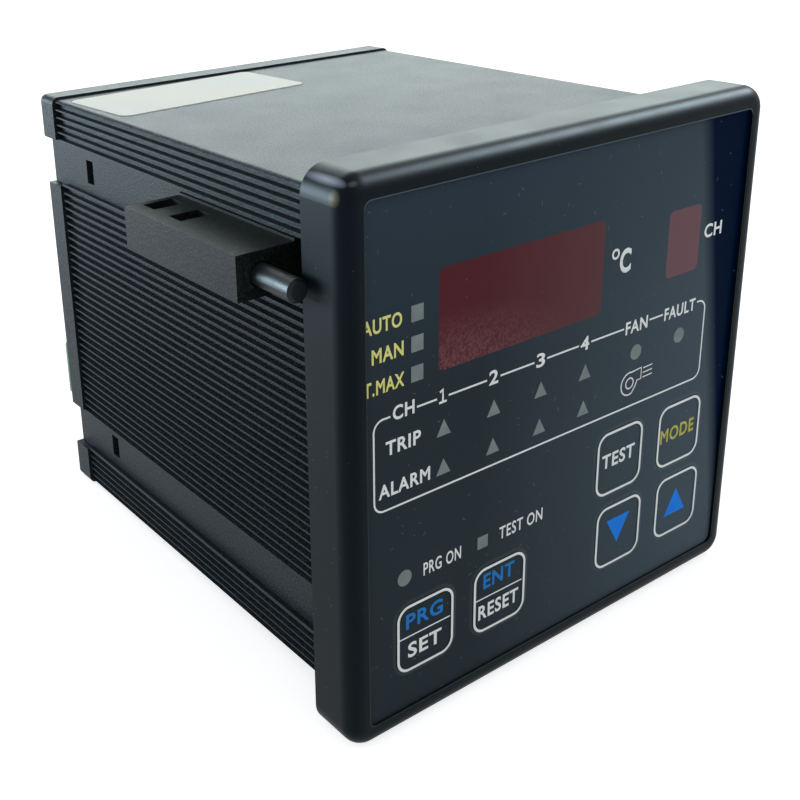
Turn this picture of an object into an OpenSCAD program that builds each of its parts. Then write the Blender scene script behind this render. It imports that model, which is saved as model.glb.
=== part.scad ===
// Panel-mounted temperature controller for a power transformer.
//
// A square moulded front with a recessed keypad film, a ribbed housing behind
// it, two screw clamps that pull the front against a panel, and pull-off
// terminals at the rear. Millimetres. The origin is the centre of the bezel's
// rear face, which lies on the panel: the front looks along -Y, +Z is up.

/* [Front bezel] */
// Width and height of the square front
bezel_w = 100; // [96:0.5:110]
// Depth of the bezel in front of the panel
bezel_depth = 10.2; // [9.6:0.1:14]
// Corner radius of the front, seen square on
bezel_corner = 4.5; // [3.5:0.1:6]
// Rounding of the front edge
bezel_edge = 3; // [1.5:0.1:3.4]
// Thickness of the wall behind the film
front_wall = 2; // [1.6:0.1:2.4]
// Length of the collar that plugs into the housing
collar_l = 6; // [4:0.5:10]
// Wall of the collars at both ends
collar_t = 1.5; // [1.2:0.1:2]
// How far the housing is let into the front's rear face
seat_depth = 0.6; // [0.4:0.1:1]

/* [Keypad film] */
// Width and height of the film
film_w = 92.4; // [90.5:0.1:93.4]
// Film thickness
film_t = 0.4; // [0.3:0.05:0.6]
// Depth of the film's face below the rim of the bezel
film_recess = 0.8; // [0.5:0.1:1.2]
// Corner radius of the film
film_corner = 1.6; // [0.8:0.1:3]

/* [Windows] */
// Width of the temperature window
window_w = 38.2; // [36:0.1:42]
// Height of the temperature window
window_h = 17.3; // [16.5:0.1:20]
// Width of the channel window
channel_window_w = 9.2; // [8.5:0.1:11]
// Height of the channel window
channel_window_h = 12.8; // [11.5:0.1:14]
// Corner radius of both windows
window_corner = 1.2; // [0.5:0.1:2]
// Thickness of the red filters
filter_t = 1.7; // [1.2:0.1:2]
// Height of both windows' centre above the middle of the front
window_z = 23.7; // [22:0.1:26]

/* [Lamps] */
// Side of the square mode lamps
lamp_side = 2.7; // [2:0.1:3.2]
// Width of the triangular channel lamps
triangle_w = 3.1; // [2:0.1:3.2]
// Radius of the round lamps
lamp_r = 1.5; // [1:0.1:1.7]
// Radius of the diodes behind the lamps
led_r = 1.5; // [1:0.1:1.6]
// Spacing of the channel lamps from left to right
channel_pitch = 11.2; // [10:0.1:12]
// Spacing of the mode lamps from top to bottom
mode_pitch = 5.05; // [4.5:0.05:5.5]

/* [Keys] */
// Width of a key
key_w = 12.8; // [11:0.1:13.5]
// Height of a key
key_h = 13.3; // [12:0.1:14]
// Corner radius of a key
key_corner = 3; // [2:0.1:4]
// Thickness of a key's pad
key_t = 1.2; // [1:0.1:1.3]
// Height of the embossed ridge round a key
ridge_h = 0.25; // [0.15:0.05:0.4]
// Width of the embossed ridge
ridge_w = 0.7; // [0.5:0.1:1]
// How far a key can be pressed
key_travel = 0.3; // [0.2:0.05:0.35]
// Radius of the stem behind a key
stem_r = 1.8; // [1.4:0.1:2.2]
// Spacing of the key rows
key_row_pitch = 16.1; // [15:0.1:17]
// Spacing of the keys within a row
key_pitch = 17.5; // [16.5:0.1:18.5]
// How far the upper row lies to the left of the lower one
key_row_shift = 1; // [0:0.1:2]

/* [Ribbed housing] */
// Width and height of the housing behind the panel
tube_w = 90.8; // [89:0.1:91.6]
// Length of the housing behind the panel
tube_l = 94.6; // [90:0.5:120]
// Wall thickness
wall = 1.9; // [1.7:0.1:2.1]
// Outer corner radius
tube_corner = 1; // [0.6:0.1:1.2]
// Number of grooves between the channels
groove_count = 32; // [24:1:32]
// Number of grooves beyond each channel
outer_groove_count = 5; // [3:1:5]
// Width of a groove at its mouth
groove_w = 1.3; // [0.9:0.05:1.35]
// Depth of a groove
groove_depth = 1.1; // [0.6:0.1:1.2]
// How far each flank of a groove leans
groove_flank = 0.15; // [0.05:0.05:0.25]
// Flat land between a channel and the next groove
land = 0.6; // [0.5:0.1:0.8]

/* [Clamp channels] */
// Height of the channels' centres above and below the middle
channel_z = 31.8; // [31.2:0.1:32.2]
// Width of a channel at its mouth
channel_w = 9.1; // [8.6:0.1:9.3]
// Depth of a channel
channel_depth = 1.2; // [1:0.1:1.4]
// Undercut of a channel's edges
channel_undercut = 0.35; // [0.2:0.05:0.4]
// Distance of the assembly slot from the housing's rear end
slot_back = 11.9; // [10:0.1:20]
// Length of the assembly slot along the housing
slot_l = 3; // [2:0.1:4]
// Height of the assembly slot
slot_h = 5; // [4:0.1:6]

/* [Rear cover] */
// How far the rear lip stands proud of the housing
lip_proud = 0.5; // [0.3:0.1:1]
// Length of the lip along the housing
lip_l = 5.6; // [5:0.1:8]
// Thickness of the cover's plate
cover_t = 2.8; // [2.2:0.1:3.2]
// Length of the cover's collar inside the housing
cover_collar_l = 4.5; // [3.5:0.1:6]
// Width of the square bosses for the cover screws
cover_boss = 6; // [5.6:0.1:7]
// Length of the bosses for the cover screws
cover_boss_l = 16; // [14:0.5:20]
// Radius of the cover screws' shanks
cover_screw_r = 1.35; // [1.2:0.05:1.5]
// Radius of the cover screws' heads
screw_head_r = 2.7; // [2.4:0.1:2.9]
// Height of the cover screws' heads
screw_head_h = 1.9; // [1.5:0.1:2.2]

/* [Screw clamps] */
// Height of a clamp block
block_h = 7.7; // [7:0.1:8.4]
// Wall of a block on both sides of its screw
block_wall = 2.45; // [2.2:0.05:3]
// Length of a block
block_l = 35.6; // [33:0.1:40]
// Distance of the block from the panel plane
block_y = 7.9; // [7.6:0.1:12]
// Radius of the pressure screw and its smooth nose
screw_r = 1.95; // [1.8:0.05:2]
// How far the nose stands in front of the panel plane
nose_ahead = 2.4; // [0:0.1:4]
// Length of the smooth nose
nose_l = 22; // [16:0.5:24]
// Length of the threaded screw behind the nose
screw_l = 28; // [26:0.5:36]
// Width of the two moulding pockets through a block
pocket_w = 5.8; // [5:0.1:6.2]
// Length of each moulding pocket
pocket_l = 4; // [3:0.1:4.5]
// Spacing of the moulding pockets
pocket_pitch = 9; // [7:0.1:10]
// Wall between a moulding pocket and the block's outer face
pocket_wall = 3; // [2.4:0.1:3.4]
// Radius of the raised ring round the nose
ring_r = 3.2; // [2.8:0.1:3.6]

/* [Terminals] */
// Pitch of the terminals
pole_pitch = 5.08; // [5:0.01:5.1]
// Poles of the sensor terminals; the relays get as many as fit beside the supply
wide_poles = 12; // [8:1:12]
// Poles of the supply terminals
supply_poles = 3; // [2:1:3]
// Height of a pull-off terminal
plug_h = 15; // [14:0.5:17]
// Depth of a terminal behind the cover
plug_depth = 15; // [12:0.5:20]
// Depth that a terminal reaches into its socket
nose_depth = 8; // [6:0.5:9]
// Outer height of a socket
socket_h = 12; // [11.5:0.1:13]
// Length of a socket inside the housing
socket_l = 12.5; // [11:0.5:14]
// Wall of a socket
socket_wall = 1; // [0.8:0.1:1.2]
// Radius of the terminal screws' heads
clamp_screw_r = 1.7; // [1.4:0.1:1.9]
// Width and height of a wire entry
wire_entry = 3.4; // [3:0.1:3.8]
// Depth of the wells over the terminal screws
screw_well = 4; // [3:0.1:5]
// Step at the top of a terminal, in front of its screws
plug_step = 2.2; // [1.5:0.1:3]
// Bevel along a terminal's upper rear edge
plug_bevel = 2.4; // [1.5:0.1:3]
// Width and depth of the grooves between the poles
pole_groove = 0.6; // [0.4:0.05:0.8]

/* [Circuit boards] */
// Board thickness
board_t = 1.6; // [1:0.1:2]
// Height of the lower board's top face
lower_z = -31.2; // [-32:0.1:-31]
// Height of the upper board's top face
upper_z = 14; // [12:0.1:14.5]
// Distance of the display board's front face from the panel plane
display_board_y = 0.6; // [0.4:0.1:1]
// How far the board guides stand into the housing
guide_depth = 3.4; // [3:0.1:4]
// Thickness of the rails of the board guides
guide_t = 1.4; // [1:0.1:1.6]
// Room between the relays and the sockets behind them
relay_room = 8.7; // [4:0.1:10]

/* [Label] */
// Length of the blank label on top
label_l = 46; // [30:0.5:50]
// Width of the blank label
label_w = 22; // [15:0.5:24]
// Turn of the label on the housing
label_turn = 3.5; // [0:0.1:5]
// Distance of the label's centre from the housing's rear end
label_back = 13.6; // [13:0.1:50]
// Distance of the label's centre to the left of the middle
label_left = 20.2; // [0:0.1:21]

/* [Clearances] */
// Gap round the film in its recess
film_gap = 0.05; // [0.05:0.05:0.15]
// Gap round each key
key_gap = 0.15; // [0.1:0.05:0.2]
// Gap between a collar or a board and what holds it
fit_gap = 0.15; // [0.1:0.05:0.25]
// Gap round the display board in the front's collar
display_gap = 1.85; // [1.5:0.05:2.5]
// Gap between a clamp's nose and the side of the front
nose_gap = 0.35; // [0.2:0.05:0.6]
// Gap round the sliding parts of the clamps
slide_gap = 0.2; // [0.15:0.05:0.3]
// Gap round a terminal's nose in its socket
plug_gap = 0.3; // [0.2:0.05:0.4]
// Gap between the sockets of the relay and of the supply terminals
socket_gap = 2; // [1:0.1:3]
// Gap between a key's stem and its switch, beyond the travel
switch_gap = 0.1; // [0.05:0.05:0.2]

/* [Hidden] */
$fn = 48;
eps = 0.01;

// Colours, as seen on the object
housing_c = [0.27, 0.31, 0.34];
bezel_c = [0.2, 0.22, 0.23];
film_c = [0.13, 0.17, 0.19];
red_c = [0.36, 0.13, 0.15];
lamp_c = [0.45, 0.49, 0.48];
clamp_c = [0.28, 0.3, 0.28];
black_c = [0.07, 0.07, 0.08];
board_c = [0.12, 0.35, 0.2];
green_c = [0.16, 0.45, 0.26];
steel_c = [0.7, 0.71, 0.72];
copper_c = [0.72, 0.42, 0.22];
white_c = [0.9, 0.88, 0.8];

// Planes along the depth, front to rear
film_y = -bezel_depth + film_recess;
wall_y = film_y + film_t;
inner_y = wall_y + front_wall;
cover_y = tube_l + lip_l;
board_front_y = collar_l + 0.4;
board_rear_y = cover_y - cover_t - 0.8;
board_l = board_rear_y - board_front_y;
guide_end = 3.5;

// Half widths
half = tube_w / 2;
inner = half - wall;
bulge = 1.4;  // the wall thickens inward by this behind a channel
board_half = inner - max(bulge, collar_t + fit_gap) - fit_gap;
collar_half = inner - fit_gap;
display_board_w = 2 * (collar_half - collar_t - display_gap);

// Front layout from the middle of the front, in hundredths of the housing's width
share = tube_w / 100;
window_x = -13 * share;
channel_window_x = 32.3 * share;
mode_lamp = [-39, 23.35] * share;
channel_lamp = [-32.6, 5.4] * share;
lamp_row_gap = 7.8 * share;
fan_lamp = [19.6, 5.3] * share;
fault_lamp = [33.25, 5.3] * share;
program_lamp = [-41.75, -22.15] * share;
test_lamp = [-22.35, -22.35] * share;
key_row_z = -35.5 * share;
left_keys_x = -36.8 * share;
right_keys_x = 17.5 * share;
key_pad_y = film_y + key_t;
switch_h = 4.3;
switch_w = 6;
stem_end_y = display_board_y - switch_h - key_travel - switch_gap;

// Two-dimensional outlines, seen from the front: x to the right, y up

module rounded(w, h, r) {
    square([w - 2 * r, h], center = true);
    square([w, h - 2 * r], center = true);
    for (sx = [-1, 1], sy = [-1, 1])
        translate([sx * (w / 2 - r), sy * (h / 2 - r)]) circle(r);
}

module triangle_up(w) {
    polygon([[-w / 2, -w * 0.47], [w / 2, -w * 0.47], [0, w * 0.47]]);
}

// Extrudes an outline along the depth from one plane to another
module slab(y0, y1) {
    translate([0, y1, 0]) rotate([90, 0, 0]) linear_extrude(height = y1 - y0) children();
}

// A round bar along the depth, at x, z
module bar(r, x, z, y0, y1) {
    translate([x, y1, z]) rotate([90, 0, 0]) cylinder(r = r, h = y1 - y0);
}

// Places its children on the front at x, z
module at(p) {
    translate([p[0], 0, p[1]]) children();
}

// Outline of a wall swept round the edge: a post with one rounded corner
module edge_profile(corner, depth, edge) {
    square([corner, depth - edge]);
    square([corner - edge, depth]);
    translate([corner - edge, depth - edge]) intersection() {
        circle(edge);
        square(edge);
    }
}

// A square plate with rounded corners and a rounded front edge, front at y0
module pillow(w, corner, edge, y0, y1) {
    depth = y1 - y0;
    side = w - 2 * corner;
    translate([0, y1, 0]) rotate([90, 0, 0]) {
        linear_extrude(height = depth) square(side, center = true);
        for (a = [0:90:270]) rotate(a) {
            translate([side / 2, side / 2, 0])
                rotate_extrude(angle = 90) edge_profile(corner, depth, edge);
            translate([side / 2, side / 2, 0]) rotate([90, 0, 0])
                linear_extrude(height = side) edge_profile(corner, depth, edge);
        }
    }
}

// Positions of all lamps on the front, by shape
square_lamps = [for (i = [-1:1]) [mode_lamp[0], mode_lamp[1] + i * mode_pitch]];
triangle_lamps = [for (row = [0, 1], i = [0:3])
    [channel_lamp[0] + i * channel_pitch, channel_lamp[1] - row * lamp_row_gap]];
round_lamps = [fan_lamp, fault_lamp, program_lamp];
all_lamps = concat(square_lamps, triangle_lamps, round_lamps, [test_lamp]);

// Centres of the six keys
keys_at = [
    [left_keys_x, key_row_z], [left_keys_x + key_pitch, key_row_z],
    [right_keys_x - key_row_shift, key_row_z + key_row_pitch],
    [right_keys_x - key_row_shift + key_pitch, key_row_z + key_row_pitch],
    [right_keys_x, key_row_z], [right_keys_x + key_pitch, key_row_z]
];

// Outline of a key, grown by a gap all round
module key_outline(gap) {
    rounded(key_w + 2 * gap, key_h + 2 * gap, key_corner);
}

module lamp_outlines() {
    for (p = square_lamps) translate(p) square(lamp_side, center = true);
    for (p = triangle_lamps) translate(p) triangle_up(triangle_w);
    for (p = round_lamps) translate(p) circle(lamp_r);
    translate(test_lamp) square(lamp_side, center = true);
}

module window_outlines() {
    translate([window_x, window_z]) rounded(window_w, window_h, window_corner);
    translate([channel_window_x, window_z])
        rounded(channel_window_w, channel_window_h, window_corner);
}

// Front pieces

boss_r = 2.9;
board_screw_r = 1.1;
post_out = display_board_w / 2 - boss_r - board_screw_r;
middle_post_z = -5.5 * share;
posts_at = [[-post_out, post_out], [post_out, post_out],
    [-post_out, middle_post_z], [post_out, middle_post_z], [0, -post_out]];

module posts(r, y0, y1) {
    for (p = posts_at) bar(r, p[0], p[1], y0, y1);
}

module channel_relief(y0, y1) {
    relief_w = channel_w + 2 * channel_undercut + 2 * bulge;
    for (sx = [-1, 1], sz = [-1, 1])
        slab(y0, y1) translate([sx * half, sz * channel_z])
            square([2 * (wall + bulge + fit_gap), relief_w + 2 * fit_gap], center = true);
}

module front_bezel() {
    seat_w = tube_w + 2 * fit_gap;
    color(bezel_c) difference() {
        union() {
            difference() {
                pillow(bezel_w, bezel_corner, bezel_edge, -bezel_depth, 0);
                slab(-seat_depth, eps) rounded(seat_w, seat_w, tube_corner);
                slab(inner_y, eps) square(2 * (collar_half - collar_t), center = true);
            }
            difference() {
                slab(-seat_depth - eps, collar_l) square(2 * collar_half, center = true);
                slab(-seat_depth - 2 * eps, collar_l + eps)
                    square(2 * (collar_half - collar_t), center = true);
                channel_relief(-seat_depth, collar_l + eps);
            }
            posts(boss_r, inner_y - eps, display_board_y);
        }
        slab(-bezel_depth - eps, wall_y) rounded(film_w, film_w, film_corner);
        slab(wall_y - eps, inner_y + eps) window_outlines();
        for (p = keys_at) at(p) {
            slab(wall_y - eps, key_pad_y + key_travel + switch_gap) key_outline(key_gap);
            slab(wall_y, inner_y + eps) circle(stem_r + 2 * key_gap);
        }
        for (p = all_lamps) at(p) slab(wall_y - eps, inner_y + eps) circle(led_r + fit_gap);
        posts(board_screw_r + 0.05, inner_y + 1, display_board_y + eps);
    }
}

module front_film() {
    color(film_c) slab(film_y, wall_y) difference() {
        rounded(film_w - 2 * film_gap, film_w - 2 * film_gap, film_corner);
        window_outlines();
        lamp_outlines();
        for (p = keys_at) translate(p) key_outline(key_gap);
    }
}

module temperature_window() {
    color(red_c) at([window_x, window_z])
        slab(film_y, film_y + filter_t) rounded(window_w, window_h, window_corner);
}

module channel_window() {
    color(red_c) at([channel_window_x, window_z])
        slab(film_y, film_y + filter_t)
            rounded(channel_window_w, channel_window_h, window_corner);
}

module lamp_windows() {
    color(lamp_c) slab(film_y, wall_y) lamp_outlines();
}

// A key: pad with an embossed ridge in front and a stem behind
module key(p) {
    color(film_c) at(p) {
        slab(film_y, key_pad_y) key_outline(0);
        slab(film_y - ridge_h, film_y) difference() {
            key_outline(0);
            rounded(key_w - 2 * ridge_w, key_h - 2 * ridge_w, key_corner - ridge_w);
        }
        bar(stem_r, 0, 0, key_pad_y, stem_end_y);
    }
}

module key_program() { key(keys_at[0]); }
module key_enter() { key(keys_at[1]); }
module key_test() { key(keys_at[2]); }
module key_mode() { key(keys_at[3]); }
module key_down() { key(keys_at[4]); }
module key_up() { key(keys_at[5]); }

// Display board and what it carries

module display_board() {
    color(board_c) difference() {
        slab(display_board_y, display_board_y + board_t)
            square(display_board_w, center = true);
        posts(board_screw_r + fit_gap, display_board_y - eps, display_board_y + board_t + eps);
    }
}

module display_board_screws() {
    head_y = display_board_y + board_t;
    color(steel_c) {
        posts(board_screw_r, inner_y + 1.5, head_y);
        posts(2 * board_screw_r, head_y, head_y + 1);
    }
}

module_gap = 0.4;
module_y = film_y + filter_t + module_gap;
digit_t = 0.2;

module temperature_display() {
    color(black_c) at([window_x, window_z])
        slab(module_y, display_board_y)
            rounded(window_w - module_gap, window_h - module_gap, window_corner);
}

module channel_display() {
    color(black_c) at([channel_window_x, window_z])
        slab(module_y, display_board_y)
            rounded(channel_window_w - module_gap, channel_window_h - module_gap, window_corner);
}

// Six-sided bar of a digit, leaning with the digit
function leaning(p, lean) = [p[0] + p[1] * lean, p[1]];
function segment(len, t) = [
    [-len / 2, 0], [-len / 2 + t / 2, t / 2], [len / 2 - t / 2, t / 2],
    [len / 2, 0], [len / 2 - t / 2, -t / 2], [-len / 2 + t / 2, -t / 2]];
function turned(p, up) = up ? [p[1], p[0]] : p;

module digit(w, h, t) {
    lean = 0.15;
    gap = 0.25;
    for (z = [-h / 2, 0, h / 2])
        polygon([for (p = segment(w - gap, t)) leaning([p[0], p[1] + z], lean)]);
    for (sx = [-1, 1], sz = [-1, 1])
        polygon([for (p = segment(h / 2 - gap, t))
            leaning(turned(p, true) + [sx * w / 2, sz * h / 4], lean)]);
}

module temperature_digits() {
    digit_pitch = window_w / 3.05;
    color([0.55, 0.2, 0.2]) at([window_x, window_z])
        slab(module_y - digit_t, module_y)
            for (i = [-1:1]) translate([i * digit_pitch, 0])
                digit(window_h * 0.4, window_h * 0.72, 1.3);
}

module channel_digit() {
    color([0.55, 0.2, 0.2]) at([channel_window_x, window_z])
        slab(module_y - digit_t, module_y)
            digit(channel_window_w * 0.5, channel_window_h * 0.68, 0.9);
}

module indicator_diodes() {
    led_l = display_board_y - inner_y + 0.6;
    color(white_c) for (p = all_lamps) at(p)
        translate([0, display_board_y, 0]) rotate([90, 0, 0]) {
            cylinder(r = led_r, h = led_l - led_r / 2);
            translate([0, 0, led_l - led_r / 2])
                cylinder(r1 = led_r, r2 = led_r / 2, h = led_r / 2);
        }
}

module key_switches() {
    body_h = 3.5;
    color(black_c) for (p = keys_at) at(p) {
        slab(display_board_y - body_h, display_board_y) square(switch_w, center = true);
        bar(stem_r, 0, 0, display_board_y - switch_h, display_board_y - body_h);
    }
}

// Ribbed housing

// Comb of grooves along a side wall, outside to the right of x = 0
function groove(z) = [
    [0, z - groove_w / 2], [-groove_depth, z - groove_w / 2 + groove_flank],
    [-groove_depth, z + groove_w / 2 - groove_flank], [0, z + groove_w / 2]];

// A comb of evenly spread grooves that fills the side from z0 to z1
function comb(z0, z1, count) = let (pitch = (z1 - z0) / count) concat(
    [[1, z0]],
    [for (i = [0:count - 1]) each groove(z0 + (i + 0.5) * pitch)],
    [[1, z1]]);

module grooves() {
    middle = channel_z - channel_w / 2 - channel_undercut;
    outer = channel_z + channel_w / 2 + land;
    translate([half, 0]) {
        polygon(comb(-middle, middle, groove_count));
        for (side = [0, 1]) mirror([0, side])
            polygon(comb(outer, half - 0.4 * tube_corner, outer_groove_count));
    }
}

// Dovetail channel, its mouth on x = 0 and its floor to the left
module channel_outline(gap) {
    mouth = channel_w / 2 - gap;
    foot = mouth + channel_undercut;
    depth = channel_depth - gap;
    polygon([[-depth, -foot], [-depth, foot], [0, mouth], [1, mouth],
        [1, -mouth], [0, -mouth]]);
}

module tube_outline() {
    bulge_h = channel_w + 2 * channel_undercut + 2 * bulge;
    difference() {
        union() {
            difference() {
                rounded(tube_w, tube_w, tube_corner);
                square(2 * inner, center = true);
            }
            for (sx = [-1, 1], sz = [-1, 1])
                translate([sx * (inner - bulge / 2 + eps), sz * channel_z])
                    square([bulge + 2 * eps, bulge_h], center = true);
        }
        for (side = [0, 1]) mirror([side, 0]) {
            grooves();
            for (sz = [-1, 1]) translate([half, sz * channel_z]) channel_outline(0);
        }
    }
}

// Pairs of rails that hold the two boards by their edges
module board_guides() {
    slab(collar_l + 1, tube_l - cover_collar_l - guide_end)
        for (side = [0, 1], z = [lower_z, upper_z]) mirror([side, 0])
            translate([inner - guide_depth, z]) {
                translate([0, fit_gap]) square([guide_depth + eps, guide_t]);
                translate([0, -board_t - fit_gap - guide_t])
                    square([guide_depth + eps, guide_t]);
            }
}

// Bosses in the four corners, for the cover screws, fused with the walls beside them
fused = 0.25;
cover_screw_at = collar_half - collar_t - screw_head_r + fused;
boss_end_y = tube_l - cover_collar_l - fit_gap;
boss_side = inner - cover_screw_at + cover_boss / 2;

module at_corners(distance) {
    for (sx = [-1, 1], sz = [-1, 1]) translate([sx * distance, sz * distance]) children();
}

module cover_bosses() {
    slab(boss_end_y - cover_boss_l, boss_end_y)
        at_corners(inner - boss_side / 2 + eps) square(boss_side, center = true);
}

module housing_tube() {
    color(housing_c) difference() {
        union() {
            slab(-seat_depth, tube_l) tube_outline();
            board_guides();
            cover_bosses();
        }
        for (sx = [-1, 1], sz = [-1, 1]) {
            translate([sx * (half - channel_depth), tube_l - slot_back, sz * channel_z])
                cube([2 * (wall + bulge), slot_l, slot_h], center = true);
        }
        slab(boss_end_y - cover_boss_l + 2, boss_end_y + eps)
            at_corners(cover_screw_at) circle(cover_screw_r + 0.05);
    }
}

// Rear cover

row_room = 2 * (collar_half - collar_t - fit_gap);
relay_poles = floor((row_room - socket_gap - socket_w(supply_poles) - 2 * socket_wall)
                    / pole_pitch);
row_w = socket_w(relay_poles) + socket_gap + socket_w(supply_poles);
relay_x = (socket_w(relay_poles) - row_w) / 2;
supply_x = (row_w - socket_w(supply_poles)) / 2;
lower_plug_z = lower_z + socket_h / 2;
upper_plug_z = upper_z + socket_h / 2;
socket_y = cover_y - socket_l;

function socket_w(poles) = poles * pole_pitch + 2 * socket_wall;

module at_sockets() {
    translate([relay_x, lower_plug_z]) children(0);
    translate([0, upper_plug_z]) children(1);
    translate([supply_x, lower_plug_z]) children(2);
}

module rear_cover() {
    cut = channel_w + 2 * channel_undercut + 2 * slide_gap;
    color(housing_c) difference() {
        union() {
            slab(tube_l, cover_y) rounded(tube_w + 2 * lip_proud, tube_w + 2 * lip_proud,
                                          tube_corner + lip_proud);
            difference() {
                slab(tube_l - cover_collar_l, tube_l + eps)
                    square(2 * collar_half, center = true);
                channel_relief(tube_l - cover_collar_l - eps, tube_l);
            }
        }
        difference() {
            slab(tube_l - cover_collar_l - eps, cover_y - cover_t)
                square(2 * (collar_half - collar_t), center = true);
            slab(tube_l - cover_collar_l - 1, cover_y)
                at_corners(cover_screw_at) circle(screw_head_r);
        }
        slab(tube_l - 1, cover_y + eps)
            for (sx = [-1, 1], sz = [-1, 1]) translate([sx * (half + 1), sz * channel_z])
                square([2 * (channel_depth + 1), cut], center = true);
        slab(cover_y - cover_t - eps, cover_y + eps) at_sockets() {
            square([socket_w(relay_poles) + 2 * fit_gap, socket_h + 2 * fit_gap], center = true);
            square([socket_w(wide_poles) + 2 * fit_gap, socket_h + 2 * fit_gap], center = true);
            square([socket_w(supply_poles) + 2 * fit_gap, socket_h + 2 * fit_gap], center = true);
        }
        slab(tube_l - cover_collar_l - 2, cover_y + eps)
            at_corners(cover_screw_at) circle(cover_screw_r + fit_gap);
    }
}

module cover_screws() {
    shank_y = boss_end_y - cover_boss_l * 0.6;
    color(steel_c) difference() {
        union() {
            slab(shank_y, cover_y) at_corners(cover_screw_at) circle(cover_screw_r);
            slab(cover_y, cover_y + screw_head_h)
                at_corners(cover_screw_at) circle(screw_head_r);
        }
        slab(cover_y + screw_head_h / 2, cover_y + screw_head_h + eps)
            at_corners(cover_screw_at) for (a = [0, 90]) rotate(a)
                square([screw_head_r * 1.2, screw_head_r / 4], center = true);
    }
}

module blank_label() {
    label_t = 0.15;
    color(white_c) translate([-label_left, tube_l - label_back, half])
        rotate([0, 0, label_turn])
        linear_extrude(height = label_t) rounded(label_l, label_w, 2);
}

// Boards and what they carry, placed at x, y on their board

controller_at = [0, 45];
converter_at = [24, 70];
crystal_at = [-20, 45];
transformer_at = [-20, 34];
main_capacitor_at = [13, 34];
small_capacitors_at = [27, 22];
regulator_at = [-2, 17];
relay_size = [15.5, 19, 15];
relays_y = socket_y - relay_room - relay_size[1];
controller_size = [16, 24, 3];
converter_size = [8, 12, 2.4];

module on_board(p, z) {
    translate([p[0], p[1], z]) children();
}

module board(z) {
    color(board_c) translate([-board_half, board_front_y, z - board_t])
        cube([2 * board_half, board_l, board_t]);
}

module upper_board() { board(upper_z); }
module lower_board() { board(lower_z); }

// A chip with rows of legs on two sides
module chip(size, legs) {
    leg_pitch = size[1] / (legs + 1);
    leg = [1.4, leg_pitch * 0.45, 0.7];
    color(black_c) translate([0, 0, (size[2] + leg[2]) / 2]) cube(size, center = true);
    color(steel_c) for (i = [0:legs - 1], s = [-1, 1])
        translate([s * size[0] / 2, (i - (legs - 1) / 2) * leg_pitch, leg[2] / 2])
            cube([2 * leg[0], leg[1], leg[2]], center = true);
}

module controller_chip() {
    on_board(controller_at, upper_z) chip(controller_size, 12);
}

module converter_chip() {
    on_board(converter_at, upper_z) chip(converter_size, 8);
}

module quartz_crystal() {
    can_r = 2.3;
    can_h = 3.6;
    can_l = 6;
    color(steel_c) on_board(crystal_at, upper_z) {
        for (s = [-1, 1]) translate([0, s * can_l / 2, 0]) cylinder(r = can_r, h = can_h);
        translate([-can_r, -can_l / 2, 0]) cube([2 * can_r, can_l, can_h]);
    }
}

// A right-angle connector between the display board and another board
module link_header(z) {
    header_w = 25.4;
    header_h = 2.5;
    on_board_l = 4;
    header_y = display_board_y + board_t;
    color(black_c) translate([-header_w / 2, header_y, z])
        cube([header_w, board_front_y + on_board_l - header_y, header_h]);
}

module upper_link_header() { link_header(upper_z); }
module lower_link_header() { link_header(lower_z); }

core_w = 32;
core_l = 16;
core_h = 27;

module transformer_core() {
    limb = core_w / 6;
    color([0.35, 0.34, 0.33]) on_board(transformer_at, lower_z + core_h / 2) difference() {
        cube([core_w, core_l, core_h], center = true);
        for (s = [-1, 1]) translate([s * limb * 1.5, 0, 0])
            cube([limb, core_l + 1, core_h - 2 * limb], center = true);
    }
}

module transformer_coil() {
    limb = core_w / 6;
    coil_l = core_l + 1.7 * limb;
    color(copper_c) on_board(transformer_at, lower_z + core_h / 2) difference() {
        cube([limb * 4, coil_l, core_h - 2 * limb], center = true);
        cube([limb * 2, core_l, core_h], center = true);
    }
}

module main_capacitor() {
    can_r = 8;
    can_h = 24;
    crimp = 0.8;
    color(black_c) on_board(main_capacitor_at, lower_z) {
        cylinder(r = can_r, h = can_h);
        translate([0, 0, can_h]) cylinder(r1 = can_r, r2 = can_r - crimp, h = crimp);
    }
}

module small_capacitors() {
    can_r = 4;
    can_h = 11.5;
    color(black_c) on_board(small_capacitors_at, lower_z) for (i = [0:2])
        translate([0, i * 3 * can_r, 0]) cylinder(r = can_r, h = can_h);
}

module voltage_regulator() {
    body = [10, 4.5, 9];
    tab_t = 1.3;
    tab_h = 15.5;
    tab_hole_r = 1.8;
    on_board(regulator_at, lower_z) {
        color(black_c) cube(body);
        color(steel_c) translate([0, body[1], 0]) difference() {
            cube([body[0], tab_t, tab_h]);
            translate([body[0] / 2, tab_t + eps, (tab_h + body[2]) / 2]) rotate([90, 0, 0])
                cylinder(r = tab_hole_r, h = tab_t + 2 * eps);
        }
    }
}

relay_pitch = 19.2;
relay_lid = 0.8;

module relay(i) {
    color([0.1, 0.25, 0.5])
        on_board([(i - 1.5) * relay_pitch - relay_size[0] / 2, relays_y], lower_z) {
            cube(relay_size);
            translate([relay_lid, relay_lid, relay_size[2]])
                cube([relay_size[0] - 2 * relay_lid, relay_size[1] - 2 * relay_lid, relay_lid / 2]);
        }
}

module relay_alarm() { relay(0); }
module relay_trip() { relay(1); }
module relay_fan() { relay(2); }
module relay_fault() { relay(3); }

// Terminals at the rear

pin_w = 1;
pin_l = nose_depth - 1;

// A socket, open to the rear
module socket(poles) {
    w = socket_w(poles);
    color(black_c) slab(socket_y, cover_y) square([w, socket_h], center = true);
}

module socket_space(poles) {
    w = socket_w(poles) - 2 * socket_wall;
    slab(cover_y - nose_depth - plug_gap, cover_y + eps)
        square([w, socket_h - 2 * socket_wall], center = true);
}

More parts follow.
